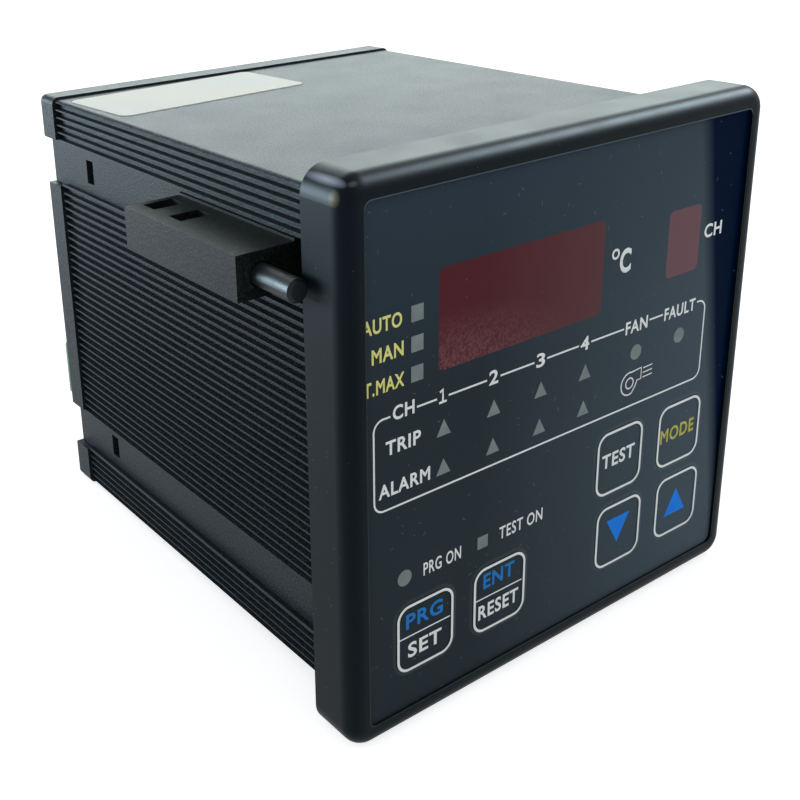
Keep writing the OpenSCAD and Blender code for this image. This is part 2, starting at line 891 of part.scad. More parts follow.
module relay_socket() {
    difference() {
        at([relay_x, lower_plug_z]) socket(relay_poles);
        at([relay_x, lower_plug_z]) socket_space(relay_poles);
    }
}

module sensor_socket() {
    difference() {
        at([0, upper_plug_z]) socket(wide_poles);
        at([0, upper_plug_z]) socket_space(wide_poles);
    }
}

module supply_socket() {
    difference() {
        at([supply_x, lower_plug_z]) socket(supply_poles);
        at([supply_x, lower_plug_z]) socket_space(supply_poles);
    }
}

module poles(count) {
    for (i = [0:count - 1]) translate([(i - (count - 1) / 2) * pole_pitch, 0, 0]) children();
}

module pin_row(count) {
    y0 = cover_y - nose_depth - plug_gap;
    poles(count) slab(y0, y0 + pin_l) square(pin_w, center = true);
}

module socket_pins() {
    color(steel_c) {
        at([relay_x, lower_plug_z]) pin_row(relay_poles);
        at([0, upper_plug_z]) pin_row(wide_poles);
        at([supply_x, lower_plug_z]) pin_row(supply_poles);
    }
}

plug_y = cover_y + 0.2;

// Side view of a terminal's body, depth by height, its foot at the origin
module plug_profile() {
    polygon([
        [0, 0], [plug_depth, 0],
        [plug_depth, plug_h - plug_bevel], [plug_depth - plug_bevel, plug_h],
        [plug_depth / 2 - clamp_screw_r - plug_step, plug_h],
        [plug_depth / 2 - clamp_screw_r - plug_step, plug_h - plug_step],
        [0, plug_h - plug_step],
    ]);
}

// A profile of depth by height, stretched along X about the middle
module across(width) {
    rotate([90, 0, 90]) translate([0, 0, -width / 2]) linear_extrude(width) children();
}

// A pull-off terminal: nose in the socket, wire entries behind, screws on top
module plug(count) {
    w = count * pole_pitch - 2 * plug_gap;
    color(green_c) difference() {
        union() {
            slab(cover_y - nose_depth, plug_y)
                square([w, socket_h - 2 * socket_wall - 2 * plug_gap], center = true);
            translate([0, plug_y, -socket_h / 2]) across(w) plug_profile();
        }
        poles(count) {
            slab(cover_y - nose_depth - eps, cover_y + 0.6)
                square(pin_w + 2 * plug_gap, center = true);
            slab(plug_y + plug_depth - 5, plug_y + plug_depth + eps)
                square(wire_entry, center = true);
            translate([0, plug_y + plug_depth / 2, plug_h - socket_h / 2 - screw_well])
                cylinder(r = clamp_screw_r + 0.1, h = screw_well + eps);
        }
        poles(count - 1) translate([0, plug_y, -socket_h / 2]) across(pole_groove) difference() {
            translate([plug_depth / 2, -eps]) square([plug_depth, plug_h + 2 * eps]);
            offset(delta = -pole_groove) plug_profile();
        }
    }
}

module plug_screws(count) {
    head_h = screw_well - 1.2;
    color(steel_c) poles(count)
        translate([0, plug_y + plug_depth / 2, plug_h - socket_h / 2 - screw_well]) difference() {
            cylinder(r = clamp_screw_r, h = head_h);
            translate([0, 0, head_h]) cube([2 * clamp_screw_r + 1, 0.5, 1.2], center = true);
        }
}

module relay_plug() { at([relay_x, lower_plug_z]) plug(relay_poles); }
module relay_plug_screws() { at([relay_x, lower_plug_z]) plug_screws(relay_poles); }
module sensor_plug() { at([0, upper_plug_z]) plug(wide_poles); }
module sensor_plug_screws() { at([0, upper_plug_z]) plug_screws(wide_poles); }
module supply_plug() { at([supply_x, lower_plug_z]) plug(supply_poles); }
module supply_plug_screws() { at([supply_x, lower_plug_z]) plug_screws(supply_poles); }

// Screw clamps: the left one lies in the upper channel, the right one in the lower

nose_y = -nose_ahead;
nose_end_y = nose_y + nose_l;
block_end_y = block_y + block_l;
screw_x = bezel_w / 2 + nose_gap + screw_r;
block_x = screw_x + screw_r + block_wall;

// Built on the right-hand side of the housing, about z = 0
module clamp_block() {
    pocket_y = block_end_y - pocket_l / 2 - 1.3;
    pocket_x = block_x - pocket_wall - pocket_w / 2;
    color(clamp_c) difference() {
        union() {
            translate([half, block_y, -block_h / 2]) cube([block_x - half, block_l, block_h]);
            slab(block_y, block_end_y) translate([half, 0]) intersection() {
                channel_outline(slide_gap);
                translate([-channel_depth, -channel_w]) square([channel_depth + 0.3, 2 * channel_w]);
            }
            bar(ring_r, screw_x, 0, block_y - 0.3, block_y + eps);
        }
        bar(screw_r + slide_gap, screw_x, 0, block_y - 1, block_end_y + eps);
        for (i = [0, 1])
            translate([pocket_x, pocket_y - i * pocket_pitch, 0])
                cube([pocket_w, pocket_l, block_h + 1], center = true);
    }
}

module clamp_nose() {
    chamfer = 0.5;
    color(clamp_c) translate([screw_x, nose_y, 0]) rotate([-90, 0, 0]) {
        cylinder(r1 = screw_r - chamfer, r2 = screw_r, h = chamfer);
        translate([0, 0, chamfer]) cylinder(r = screw_r, h = nose_l - chamfer);
    }
}

module clamp_screw() {
    end_y = nose_end_y + screw_l;
    color(steel_c) difference() {
        bar(screw_r, screw_x, 0, nose_end_y, end_y);
        translate([screw_x, end_y, 0]) cube([2 * screw_r + 1, 2, 0.8], center = true);
    }
}

module on_left() {
    translate([0, 0, channel_z]) mirror([1, 0, 0]) children();
}

module on_right() {
    translate([0, 0, -channel_z]) mirror([0, 0, 1]) children();
}

module clamp_left() { on_left() clamp_block(); }
module clamp_left_nose() { on_left() clamp_nose(); }
module clamp_left_screw() { on_left() clamp_screw(); }
module clamp_right() { on_right() clamp_block(); }
module clamp_right_nose() { on_right() clamp_nose(); }
module clamp_right_screw() { on_right() clamp_screw(); }

front_bezel();
front_film();
temperature_window();
channel_window();
lamp_windows();
key_program();
key_enter();
key_test();
key_mode();
key_down();
key_up();
display_board();
display_board_screws();
temperature_display();
temperature_digits();
channel_display();
channel_digit();
indicator_diodes();
key_switches();
housing_tube();
rear_cover();
cover_screws();
blank_label();
upper_board();
controller_chip();
converter_chip();
quartz_crystal();
upper_link_header();
lower_board();
lower_link_header();
transformer_core();
transformer_coil();
main_capacitor();
small_capacitors();
voltage_regulator();
relay_alarm();
relay_trip();
relay_fan();
relay_fault();
relay_socket();
sensor_socket();
supply_socket();
socket_pins();
relay_plug();
relay_plug_screws();
sensor_plug();
sensor_plug_screws();
supply_plug();
supply_plug_screws();
clamp_left();
clamp_left_nose();
clamp_left_screw();
clamp_right();
clamp_right_nose();
clamp_right_screw();
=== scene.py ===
"""Looks of a panel-mounted temperature controller: printed front, finishes and studio."""

import logging
import math
from collections.abc import Callable, Iterable
from dataclasses import dataclass, field
from enum import Enum
from functools import cached_property
from typing import Protocol

import bpy
from mathutils import Matrix, Vector


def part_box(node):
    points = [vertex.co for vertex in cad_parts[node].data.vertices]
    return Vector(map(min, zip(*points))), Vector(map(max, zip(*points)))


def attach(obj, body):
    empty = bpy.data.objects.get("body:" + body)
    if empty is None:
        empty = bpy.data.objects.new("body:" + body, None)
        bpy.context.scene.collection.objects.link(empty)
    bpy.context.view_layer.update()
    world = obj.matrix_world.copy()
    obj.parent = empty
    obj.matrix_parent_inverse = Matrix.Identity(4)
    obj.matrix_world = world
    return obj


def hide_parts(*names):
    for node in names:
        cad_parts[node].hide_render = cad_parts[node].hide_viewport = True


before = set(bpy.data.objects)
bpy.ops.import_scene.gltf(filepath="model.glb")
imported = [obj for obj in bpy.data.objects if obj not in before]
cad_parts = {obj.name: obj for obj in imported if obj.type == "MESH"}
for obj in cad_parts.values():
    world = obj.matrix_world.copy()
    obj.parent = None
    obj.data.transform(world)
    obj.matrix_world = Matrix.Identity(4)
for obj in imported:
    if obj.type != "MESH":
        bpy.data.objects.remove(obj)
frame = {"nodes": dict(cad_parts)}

MM = 0.001
LOG = logging.getLogger("controller")
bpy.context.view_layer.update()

Triple = tuple[float, float, float]
Colour = Triple
Point = tuple[float, float]
Piece = bpy.types.Object
Socket = bpy.types.NodeSocket
Value = float | Triple | bpy.types.NodeSocket

RISE: Point = (0.0, 1.0)
FALL: Point = (1.0, 0.0)
PATCH_BAND: Point = (0.35, 0.65)
SHEEN_BAND: Point = (0.3, 0.7)
SPECK_BAND: Point = (0.42, 0.72)
RIGHTWARD: Triple = (1.0, 0.0, 0.0)
UPWARD: Triple = (0.0, 0.0, 1.0)
FAR: float = 1e6
PATCH_OCTAVES: float = 3.0
SHEEN_OCTAVES: float = 4.0
GRAIN_OCTAVES: float = 2.0
SHEEN_SCALE: float = 4.0
WELD: float = 1e-7
TOUCH: float = 1e-6
UPRIGHT: Triple = (math.pi / 2, 0, 0)


class Ink(Enum):
    """Printing inks of the front."""

    WHITE = "white_ink"
    YELLOW = "yellow_ink"
    BLUE = "blue_ink"
    SKY = "sky_ink"
    # The yellow ink darkened as painted shade, for the MODE key.
    OLIVE = "olive_ink"


class Part(Enum):
    """What is picked in edit mode."""

    FACE = "polygons"
    EDGE = "edges"


@dataclass(frozen=True)
class Extent:
    """The box round a CAD piece in mm: x to the right, y backward, z up."""

    left: float
    front: float
    bottom: float
    right: float
    back: float
    top: float

    @classmethod
    def of(cls, node: str) -> "Extent":
        """Measures a CAD piece."""
        return cls(*(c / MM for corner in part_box(node) for c in corner))

    @property
    def centre(self) -> Point:
        """Its middle, seen from the front."""
        return (self.left + self.right) / 2, (self.bottom + self.top) / 2

    @property
    def size(self) -> Point:
        """Its width and height, seen from the front."""
        return self.right - self.left, self.top - self.bottom


class Bench:
    """Modelling by hand: each tool works on the one object that it is given."""

    @staticmethod
    def clear() -> None:
        """Leaves edit mode and deselects everything."""
        if bpy.context.mode != "OBJECT":
            bpy.ops.object.mode_set(mode="OBJECT")
        bpy.ops.object.select_all(action="DESELECT")

    @classmethod
    def take(cls, *objs: Piece) -> Piece:
        """Selects objects and makes the first one active.

        Args:
            objs: The objects to work on.

        Returns:
            The active object.
        """
        cls.clear()
        for obj in objs:
            obj.select_set(True)
        bpy.context.view_layer.objects.active = objs[0]
        return objs[0]

    @classmethod
    def settle(cls, name: str) -> Piece:
        """Bakes the active object's place into its mesh and names it.

        Args:
            name: The piece's name.

        Returns:
            The object, at the origin, unturned and unscaled.
        """
        obj = bpy.context.active_object
        cls.take(obj)
        bpy.ops.object.transform_apply(location=True, rotation=True, scale=True)
        obj.name = obj.data.name = name
        return obj

    @classmethod
    def edit(cls, obj: Piece) -> None:
        """Opens an object in edit mode, all of it selected."""
        cls.take(obj)
        bpy.ops.object.mode_set(mode="EDIT")
        bpy.ops.mesh.select_mode(type="FACE")
        bpy.ops.mesh.select_all(action="SELECT")

    @classmethod
    def pick(cls, obj: Piece, part: Part, test: Callable[..., bool]) -> None:
        """Selects the faces or edges that pass a test, and stays in edit mode.

        Args:
            obj: The object.
            part: Which of them.
            test: Takes one of them.
        """
        cls.edit(obj)
        bpy.ops.mesh.select_mode(type=part.name)
        bpy.ops.mesh.select_all(action="DESELECT")
        bpy.ops.object.mode_set(mode="OBJECT")
        for one in getattr(obj.data, part.value):
            one.select = test(one)
        bpy.ops.object.mode_set(mode="EDIT")

    @staticmethod
    def extrude(distance: float) -> None:
        """Extrudes the selected faces backward, in millimetres."""
        bpy.ops.mesh.extrude_region_move(TRANSFORM_OT_translate={"value": (0, distance * MM, 0)})

    @staticmethod
    def steps(profile: Iterable[Point]) -> None:
        """Insets the selected faces and brings them forward, step by step.

        Args:
            profile: How far inward and how far forward each step goes, in mm.
        """
        for inward, forward in profile:
            bpy.ops.mesh.inset(thickness=inward * MM, depth=0, use_even_offset=True)
            bpy.ops.transform.translate(value=(0, -forward * MM, 0))

    @classmethod
    def modify(cls, obj: Piece, kind: str, **settings: object) -> None:
        """Adds a modifier and applies it.

        Args:
            obj: The object.
            kind: The modifier's type.
            settings: Its settings.
        """
        cls.take(obj)
        modifier = obj.modifiers.new(kind.title(), kind)
        for key, value in settings.items():
            setattr(modifier, key, value)
        bpy.ops.object.modifier_apply(modifier=modifier.name)

    @classmethod
    def cut(cls, obj: Piece, place: Triple, size: Triple, turn: float = 0.0) -> None:
        """Cuts a block out of an object.

        Args:
            obj: The object.
            place: The block's centre in mm.
            size: Its lengths in mm.
            turn: Its turn about y.
        """
        cls.clear()
        bpy.ops.mesh.primitive_cube_add(size=1, location=[c * MM for c in place],
                                        rotation=(0, turn, 0))
        cutter = bpy.context.active_object
        cutter.scale = [s * MM for s in size]
        cutter = cls.settle("cutter")
        cls.modify(obj, "BOOLEAN", operation="DIFFERENCE", object=cutter, solver="EXACT")
        bpy.data.objects.remove(cutter)

    @classmethod
    def join(cls, name: str, objs: list[Piece]) -> Piece:
        """Joins objects into one piece.

        Args:
            name: The piece's name.
            objs: The objects; the first one keeps its materials.

        Returns:
            The piece.
        """
        kept = cls.take(*objs)
        if len(objs) > 1:
            bpy.ops.object.join()
        kept.name = kept.data.name = name
        return kept

    @classmethod
    def close(cls, obj: Piece, angle: float = 35.0) -> Piece:
        """Merges doubles, turns the faces outward and smooths flat angles.

        Args:
            obj: The object.
            angle: Edges sharper than this, in degrees, stay sharp.

        Returns:
            The same object.
        """
        cls.edit(obj)
        bpy.ops.mesh.remove_doubles(threshold=WELD)
        bpy.ops.mesh.select_all(action="SELECT")
        bpy.ops.mesh.normals_make_consistent(inside=False)
        cls.take(obj)
        bpy.ops.object.shade_smooth_by_angle(angle=math.radians(angle))
        return obj

    @classmethod
    def thicken(cls, obj: Piece, thickness: float) -> Piece:
        """Gives a flat print its film of ink, towards the front.

        Args:
            obj: The flat mesh.
            thickness: In mm.

        Returns:
            The same object, closed.
        """
        cls.edit(obj)
        cls.extrude(-thickness)
        cls.edit(obj)
        bpy.ops.mesh.normals_make_consistent(inside=False)
        cls.clear()
        return obj


@dataclass
class Panel:
    """A flat rounded rectangle that faces the viewer of the front, in mm."""

    size: Point
    at: Point
    y: float
    corner: float
    rounds: int = 8

    @classmethod
    def disc(cls, diameter: float, at: Point, y: float, rounds: int = 8,
             flat: float = 0.01) -> "Panel":
        """A square so round that little is left of its straight sides."""
        return cls((diameter, diameter), at, y, diameter / 2 - flat, rounds)

    def plate(self, name: str) -> Piece:
        """Makes it whole.

        Args:
            name: Its name.

        Returns:
            The plate.
        """
        Bench.clear()
        bpy.ops.mesh.primitive_plane_add(
            size=1.0, location=(self.at[0] * MM, self.y * MM, self.at[1] * MM), rotation=UPRIGHT)
        bpy.context.active_object.scale = (self.size[0] * MM, self.size[1] * MM, 1)
        obj = Bench.settle(name)
        if self.corner > 0:
            Bench.edit(obj)
            bpy.ops.mesh.bevel(offset=self.corner * MM, segments=self.rounds, affect="VERTICES")
            Bench.clear()
        return obj

    def ring(self, name: str, line: float) -> Piece:
        """Makes its outline.

        Args:
            name: Its name.
            line: Width of the line in mm.

        Returns:
            The outline.
        """
        obj = self.plate(name)
        Bench.edit(obj)
        bpy.ops.mesh.inset(thickness=line * MM, depth=0, use_even_offset=True)
        bpy.ops.mesh.delete(type="FACE")
        Bench.clear()
        return obj


@dataclass
class Graph:
    """The nodes of a material or of the world, added one at a time."""

    tree: bpy.types.NodeTree

    @classmethod
    def of(cls, owner: bpy.types.Material | bpy.types.World) -> "Graph":
        """Empties the nodes of a material or a world and takes them.

        Args:
            owner: The material or the world.

        Returns:
            Its graph.
        """
        owner.use_nodes = True
        owner.node_tree.nodes.clear()
        return cls(owner.node_tree)

    def add(self, kind: str, inputs: dict[str | int, Value] | None = None,
            **settings: object) -> bpy.types.Node:
        """Adds a node.

        Args:
            kind: Its type, without the words that every type starts with.
            inputs: Constants or sockets, by the name or number of the input.
            settings: Its other settings.

        Returns:
            The node.
        """
        node = self.tree.nodes.new(f"ShaderNode{kind}")
        for key, setting in settings.items():
            setattr(node, key, setting)
        for key, value in (inputs or {}).items():
            self.feed(node.inputs[key], value)
        return node

    def feed(self, socket: Socket, value: Value) -> None:
        """Links an input, or sets its constant.

        Args:
            socket: The input.
            value: A socket or a constant.
        """
        if isinstance(value, bpy.types.NodeSocket):
            self.tree.links.new(value, socket)
        elif socket.type == "RGBA":
            socket.default_value = (*value, 1)
        else:
            socket.default_value = value

    @cached_property
    def place(self) -> Socket:
        """Object coordinates."""
        return self.add("TexCoord").outputs["Object"]

    def noise(self, scale: float, detail: float) -> Socket:
        """A cloud pattern of about 0 to 1, by features per metre and octaves."""
        node = self.add("TexNoise", {"Scale": scale, "Detail": detail, "Vector": self.place})
        return node.outputs["Fac"]

    def span(self, value: Socket, source: Point, target: Point = RISE) -> Socket:
        """Maps one range of a value to another, clamped.

        Args:
            value: The value.
            source: The range it comes from.
            target: The range it goes to.

        Returns:
            The mapped value.
        """
        node = self.add("MapRange", {"Value": value, "From Min": source[0], "From Max": source[1],
                                     "To Min": target[0], "To Max": target[1]})
        return node.outputs["Result"]

    def blend(self, share: Socket, first: Value, second: Value) -> Socket:
        """Mixes two colours.

        Args:
            share: How much of the second.
            first: A colour or a socket.
            second: A colour or a socket.

        Returns:
            The mixed colour.
        """
        node = self.add("Mix", {"Factor": share}, data_type="RGBA")
        ends = [socket for socket in node.inputs if socket.type == "RGBA"]
        for socket, value in zip(ends, (first, second)):
            self.feed(socket, value)
        return next(socket for socket in node.outputs if socket.type == "RGBA")

    def compute(self, operation: str, *values: Value) -> Socket:
        """One step of arithmetic on numbers or sockets."""
        return self.add("Math", dict(enumerate(values)), operation=operation).outputs[0]

    def cells(self, scale: float) -> tuple[bpy.types.Node, bpy.types.Node]:
        """A loose grid of cells, and their chance numbers from 0 to 1."""
        node = self.add("TexVoronoi", {"Scale": scale, "Vector": self.place})
        return node, self.add("SeparateColor", {"Color": node.outputs["Color"]})

    def mix(self, share: Socket, first: Socket, second: Socket) -> Socket:
        """Mixes two shaders."""
        return self.add("MixShader", {"Fac": share, 1: first, 2: second}).outputs["Shader"]

    def seen(self) -> Socket:
        """Gives 1 for camera, glossy and transmission rays, which show the surroundings."""
        rays = self.add("LightPath").outputs
        either = self.compute("MAXIMUM", rays["Is Camera Ray"], rays["Is Glossy Ray"])
        return self.compute("MAXIMUM", either, rays["Is Transmission Ray"])


class Mask(Protocol):
    """How much of a colour lies where on a surface."""

    def mask(self, graph: Graph) -> Socket:
        """Builds the share, from 0 to 1, in the nodes of a material."""


@dataclass(frozen=True)
class Ramp:
    """Goes from one share to another in a band across one direction, in metres."""

    along: Triple
    band: Point
    shares: Point = RISE

    def mask(self, graph: Graph) -> Socket:
        """Measures along the direction and maps the band to the shares."""
        node = graph.add("VectorMath", {0: graph.place, 1: self.along}, operation="DOT_PRODUCT")
        return graph.span(node.outputs["Value"], self.band, self.shares)


@dataclass(frozen=True)
class Spot:
    """A soft spot round a point, in mm: full in its core and nothing beyond its reach."""

    centre: Triple
    reach: Triple
    core: float = 0.1

    def mask(self, graph: Graph) -> Socket:
        """Measures from the centre, with the reach as 1.

        Args:
            graph: The material's nodes.

        Returns:
            The share.
        """
        scale = [1 / (r * MM) for r in self.reach]
        shift = [-c * MM * s for c, s in zip(self.centre, scale)]
        near = graph.add("Mapping", {"Scale": scale, "Location": shift, "Vector": graph.place},
                         vector_type="POINT")
        length = graph.add("VectorMath", {0: near.outputs["Vector"]}, operation="LENGTH")
        return graph.span(length.outputs["Value"], (self.core, 1.0), FALL)


@dataclass(frozen=True)
class Mottle:
    """Small clouds."""

    scale: float
    band: Point
    shares: Point

    def mask(self, graph: Graph) -> Socket:
        """Maps a noise to the shares."""
        return graph.span(graph.noise(self.scale, GRAIN_OCTAVES), self.band, self.shares)


@dataclass(frozen=True)
class Both:
    """Where two masks meet, or a part of one."""

    first: Mask
    second: Mask | float

    def mask(self, graph: Graph) -> Socket:
        """Multiplies the two."""
        second = self.second if isinstance(self.second, float) else self.second.mask(graph)
        return graph.compute("MULTIPLY", self.first.mask(graph), second)


@dataclass(frozen=True)
class Dust:
    """Fine specks, one in some cells of a loose grid."""

    cells: float
    size: float
    rarity: float
    soft: float = 1.8
    ease: float = 0.05

    def mask(self, graph: Graph) -> Socket:
        """Gives 1 on a speck.

        Args:
            graph: The material's nodes.

        Returns:
            The share.
        """
        node, chance = graph.cells(self.cells)
        near = graph.span(node.outputs["Distance"], (self.size, self.size * self.soft), FALL)
        some = graph.span(chance.outputs["Red"], (self.rarity, self.rarity + self.ease))
        return graph.compute("MULTIPLY", near, some)


@dataclass(frozen=True)
class Hairs:
    """Short fine marks that lie in all directions, one in some cells of a loose grid."""

    cells: float
    length: float
    width: float
    rarity: float

    def mask(self, graph: Graph) -> Socket:
        """Gives 1 on a mark.

        Args:
            graph: The material's nodes.

        Returns:
            The share.
        """
        node, chance = graph.cells(self.cells)
        away = graph.add("VectorMath", {0: graph.place, 1: node.outputs["Position"]},
                         operation="SUBTRACT")
        x, _, z = graph.add("SeparateXYZ", {"Vector": away.outputs["Vector"]}).outputs
        turn = graph.compute("MULTIPLY", chance.outputs["Red"], math.pi)
        sine, cosine = graph.compute("SINE", turn), graph.compute("COSINE", turn)
        along = graph.compute("ADD", graph.compute("MULTIPLY", x, cosine),
                              graph.compute("MULTIPLY", z, sine))
        beside = graph.compute("SUBTRACT", graph.compute("MULTIPLY", z, cosine),
                               graph.compute("MULTIPLY", x, sine))
        thin = graph.span(graph.compute("ABSOLUTE", beside),
                          (self.width * MM / 2, self.width * MM), FALL)
        short = graph.span(graph.compute("ABSOLUTE", along),
                           (self.length * MM / 3, self.length * MM / 2), FALL)
        some = graph.span(chance.outputs["Green"], (self.rarity, 1.0))
        return graph.compute("MULTIPLY", graph.compute("MULTIPLY", thin, short), some)


@dataclass(frozen=True)
class Finish:
    """A moulded surface: soft patches of colour, uneven sheen and fine grain."""

    name: str
    colour: Colour
    tint: Colour
    patch: float = 30.0
    sheen: Point = (0.4, 0.5)
    grain: float = 2200.0
    relief: float = 0.03
    specular: float = 0.5
    metal: float = 0.0
    speckle: float = 0.0
    mirror: Colour = (1.0, 1.0, 1.0)
    layers: tuple[tuple[Mask, Colour], ...] = ()

    def make(self) -> bpy.types.Material:
        """Builds the material.

        Returns:
            The material, made once for each finish.
        """
        known = bpy.data.materials.get(self.name)
        if known:
            return known
        material = bpy.data.materials.new(self.name)
        graph = Graph.of(material)
        patches = graph.span(graph.noise(self.patch, PATCH_OCTAVES), PATCH_BAND)
        colour = graph.blend(patches, self.colour, self.tint)
        sheen = graph.span(graph.noise(self.patch * SHEEN_SCALE, SHEEN_OCTAVES), SHEEN_BAND,
                           self.sheen)
        grain = graph.noise(self.grain, GRAIN_OCTAVES)
        if self.speckle:
            lift = graph.span(grain, SPECK_BAND, (1 - self.speckle, 1 + self.speckle))
            scaled = graph.add("VectorMath", {0: colour, "Scale": lift}, operation="SCALE")
            colour = scaled.outputs["Vector"]
        for layer, paint in self.layers:
            colour = graph.blend(layer.mask(graph), colour, paint)
        bump = graph.add("Bump", {"Strength": 1.0, "Distance": self.relief * MM, "Height": grain})
        shader = graph.add("BsdfPrincipled", {
            "Metallic": self.metal, "Specular IOR Level": self.specular,
            "Specular Tint": self.mirror, "Base Color": colour,
            "Roughness": sheen, "Normal": bump.outputs["Normal"]})
        graph.add("OutputMaterial", {"Surface": shader.outputs["BSDF"]})
        return material


@dataclass(frozen=True)
class InkFinish(Finish):
    """Printing ink, which is even and half matt."""

    patch: float = 200.0
    sheen: Point = (0.5, 0.6)
    grain: float = 3000.0
    relief: float = 0.004
    specular: float = 0.15


COOL: Colour = (0.82, 0.94, 1.0)
PALE: Colour = (0.16, 0.17, 0.17)

# Two worn spots and pale dust on the bezel's top left corner, and a painted highlight streak along
# its rounding.
BEZEL_WEAR_AND_HIGHLIGHT = (
    (Spot((-49.8, -7.9, 46.9), (0.8, 1.3, 1.6)), (0.15, 0.14, 0.07)),
    (Spot((-47.8, -9.7, 48.9), (1.4, 1.0, 0.7)), (0.16, 0.165, 0.14)),
    # Painted highlight: a bluish streak along the top left corner's rounding.
    (Spot((-48.7, -4.6, 48.8), (1.1, 6.0, 0.9)), (0.3, 0.34, 0.42)),
    (Dust(1000.0, 0.06, 0.94), PALE))

# Paler to the top, a painted reflection that grows lighter to the right, a painted dark reflection
# along the right edge, then dust and hair marks.
FILM_WEAR_AND_REFLECTION = (
    (Ramp(UPWARD, (0.012, 0.046)), (0.034, 0.052, 0.072)),
    (Both(Ramp(RIGHTWARD, (-0.022, 0.044)), Ramp(UPWARD, (0.015, 0.046), (1.0, 0.55))),
     (0.076, 0.102, 0.126)),
    (Ramp((1.0, 0.0, 0.155), (0.0388, 0.0424)), (0.0, 0.006, 0.025)),
    (Both(Dust(560.0, 0.04, 0.82), 0.8), PALE),
    (Both(Hairs(170.0, 0.9, 0.1, 0.66), 0.8), PALE),
    (Both(Hairs(290.0, 0.5, 0.08, 0.8), 0.8), PALE))

# Paler in mottled patches at the lower left, and dusty all over.
WINDOW_WEAR = (
    (Both(Spot((-29.0, -9.4, 14.0), (30.0, 6.0, 11.0)),
          Mottle(2200.0, (0.36, 0.62), (0.1, 0.9))), (0.17, 0.072, 0.08)),
    (Dust(520.0, 0.035, 0.8), (0.22, 0.12, 0.12)))
# Painted reflection: both filters grow paler to the right.
WINDOW_PAINTED_REFLECTION = Ramp(RIGHTWARD, (-0.02, 0.008))

# The dark line where the mould closes, and pale specks.
CLAMP_WEAR = (
    (Both(Spot((0.0, 22.2, 0.0), (FAR, 0.35, FAR), 0.1 / 0.35), 0.6), (0.003, 0.004, 0.004)),
    (Dust(700.0, 0.05, 0.97), (0.2, 0.21, 0.2)))

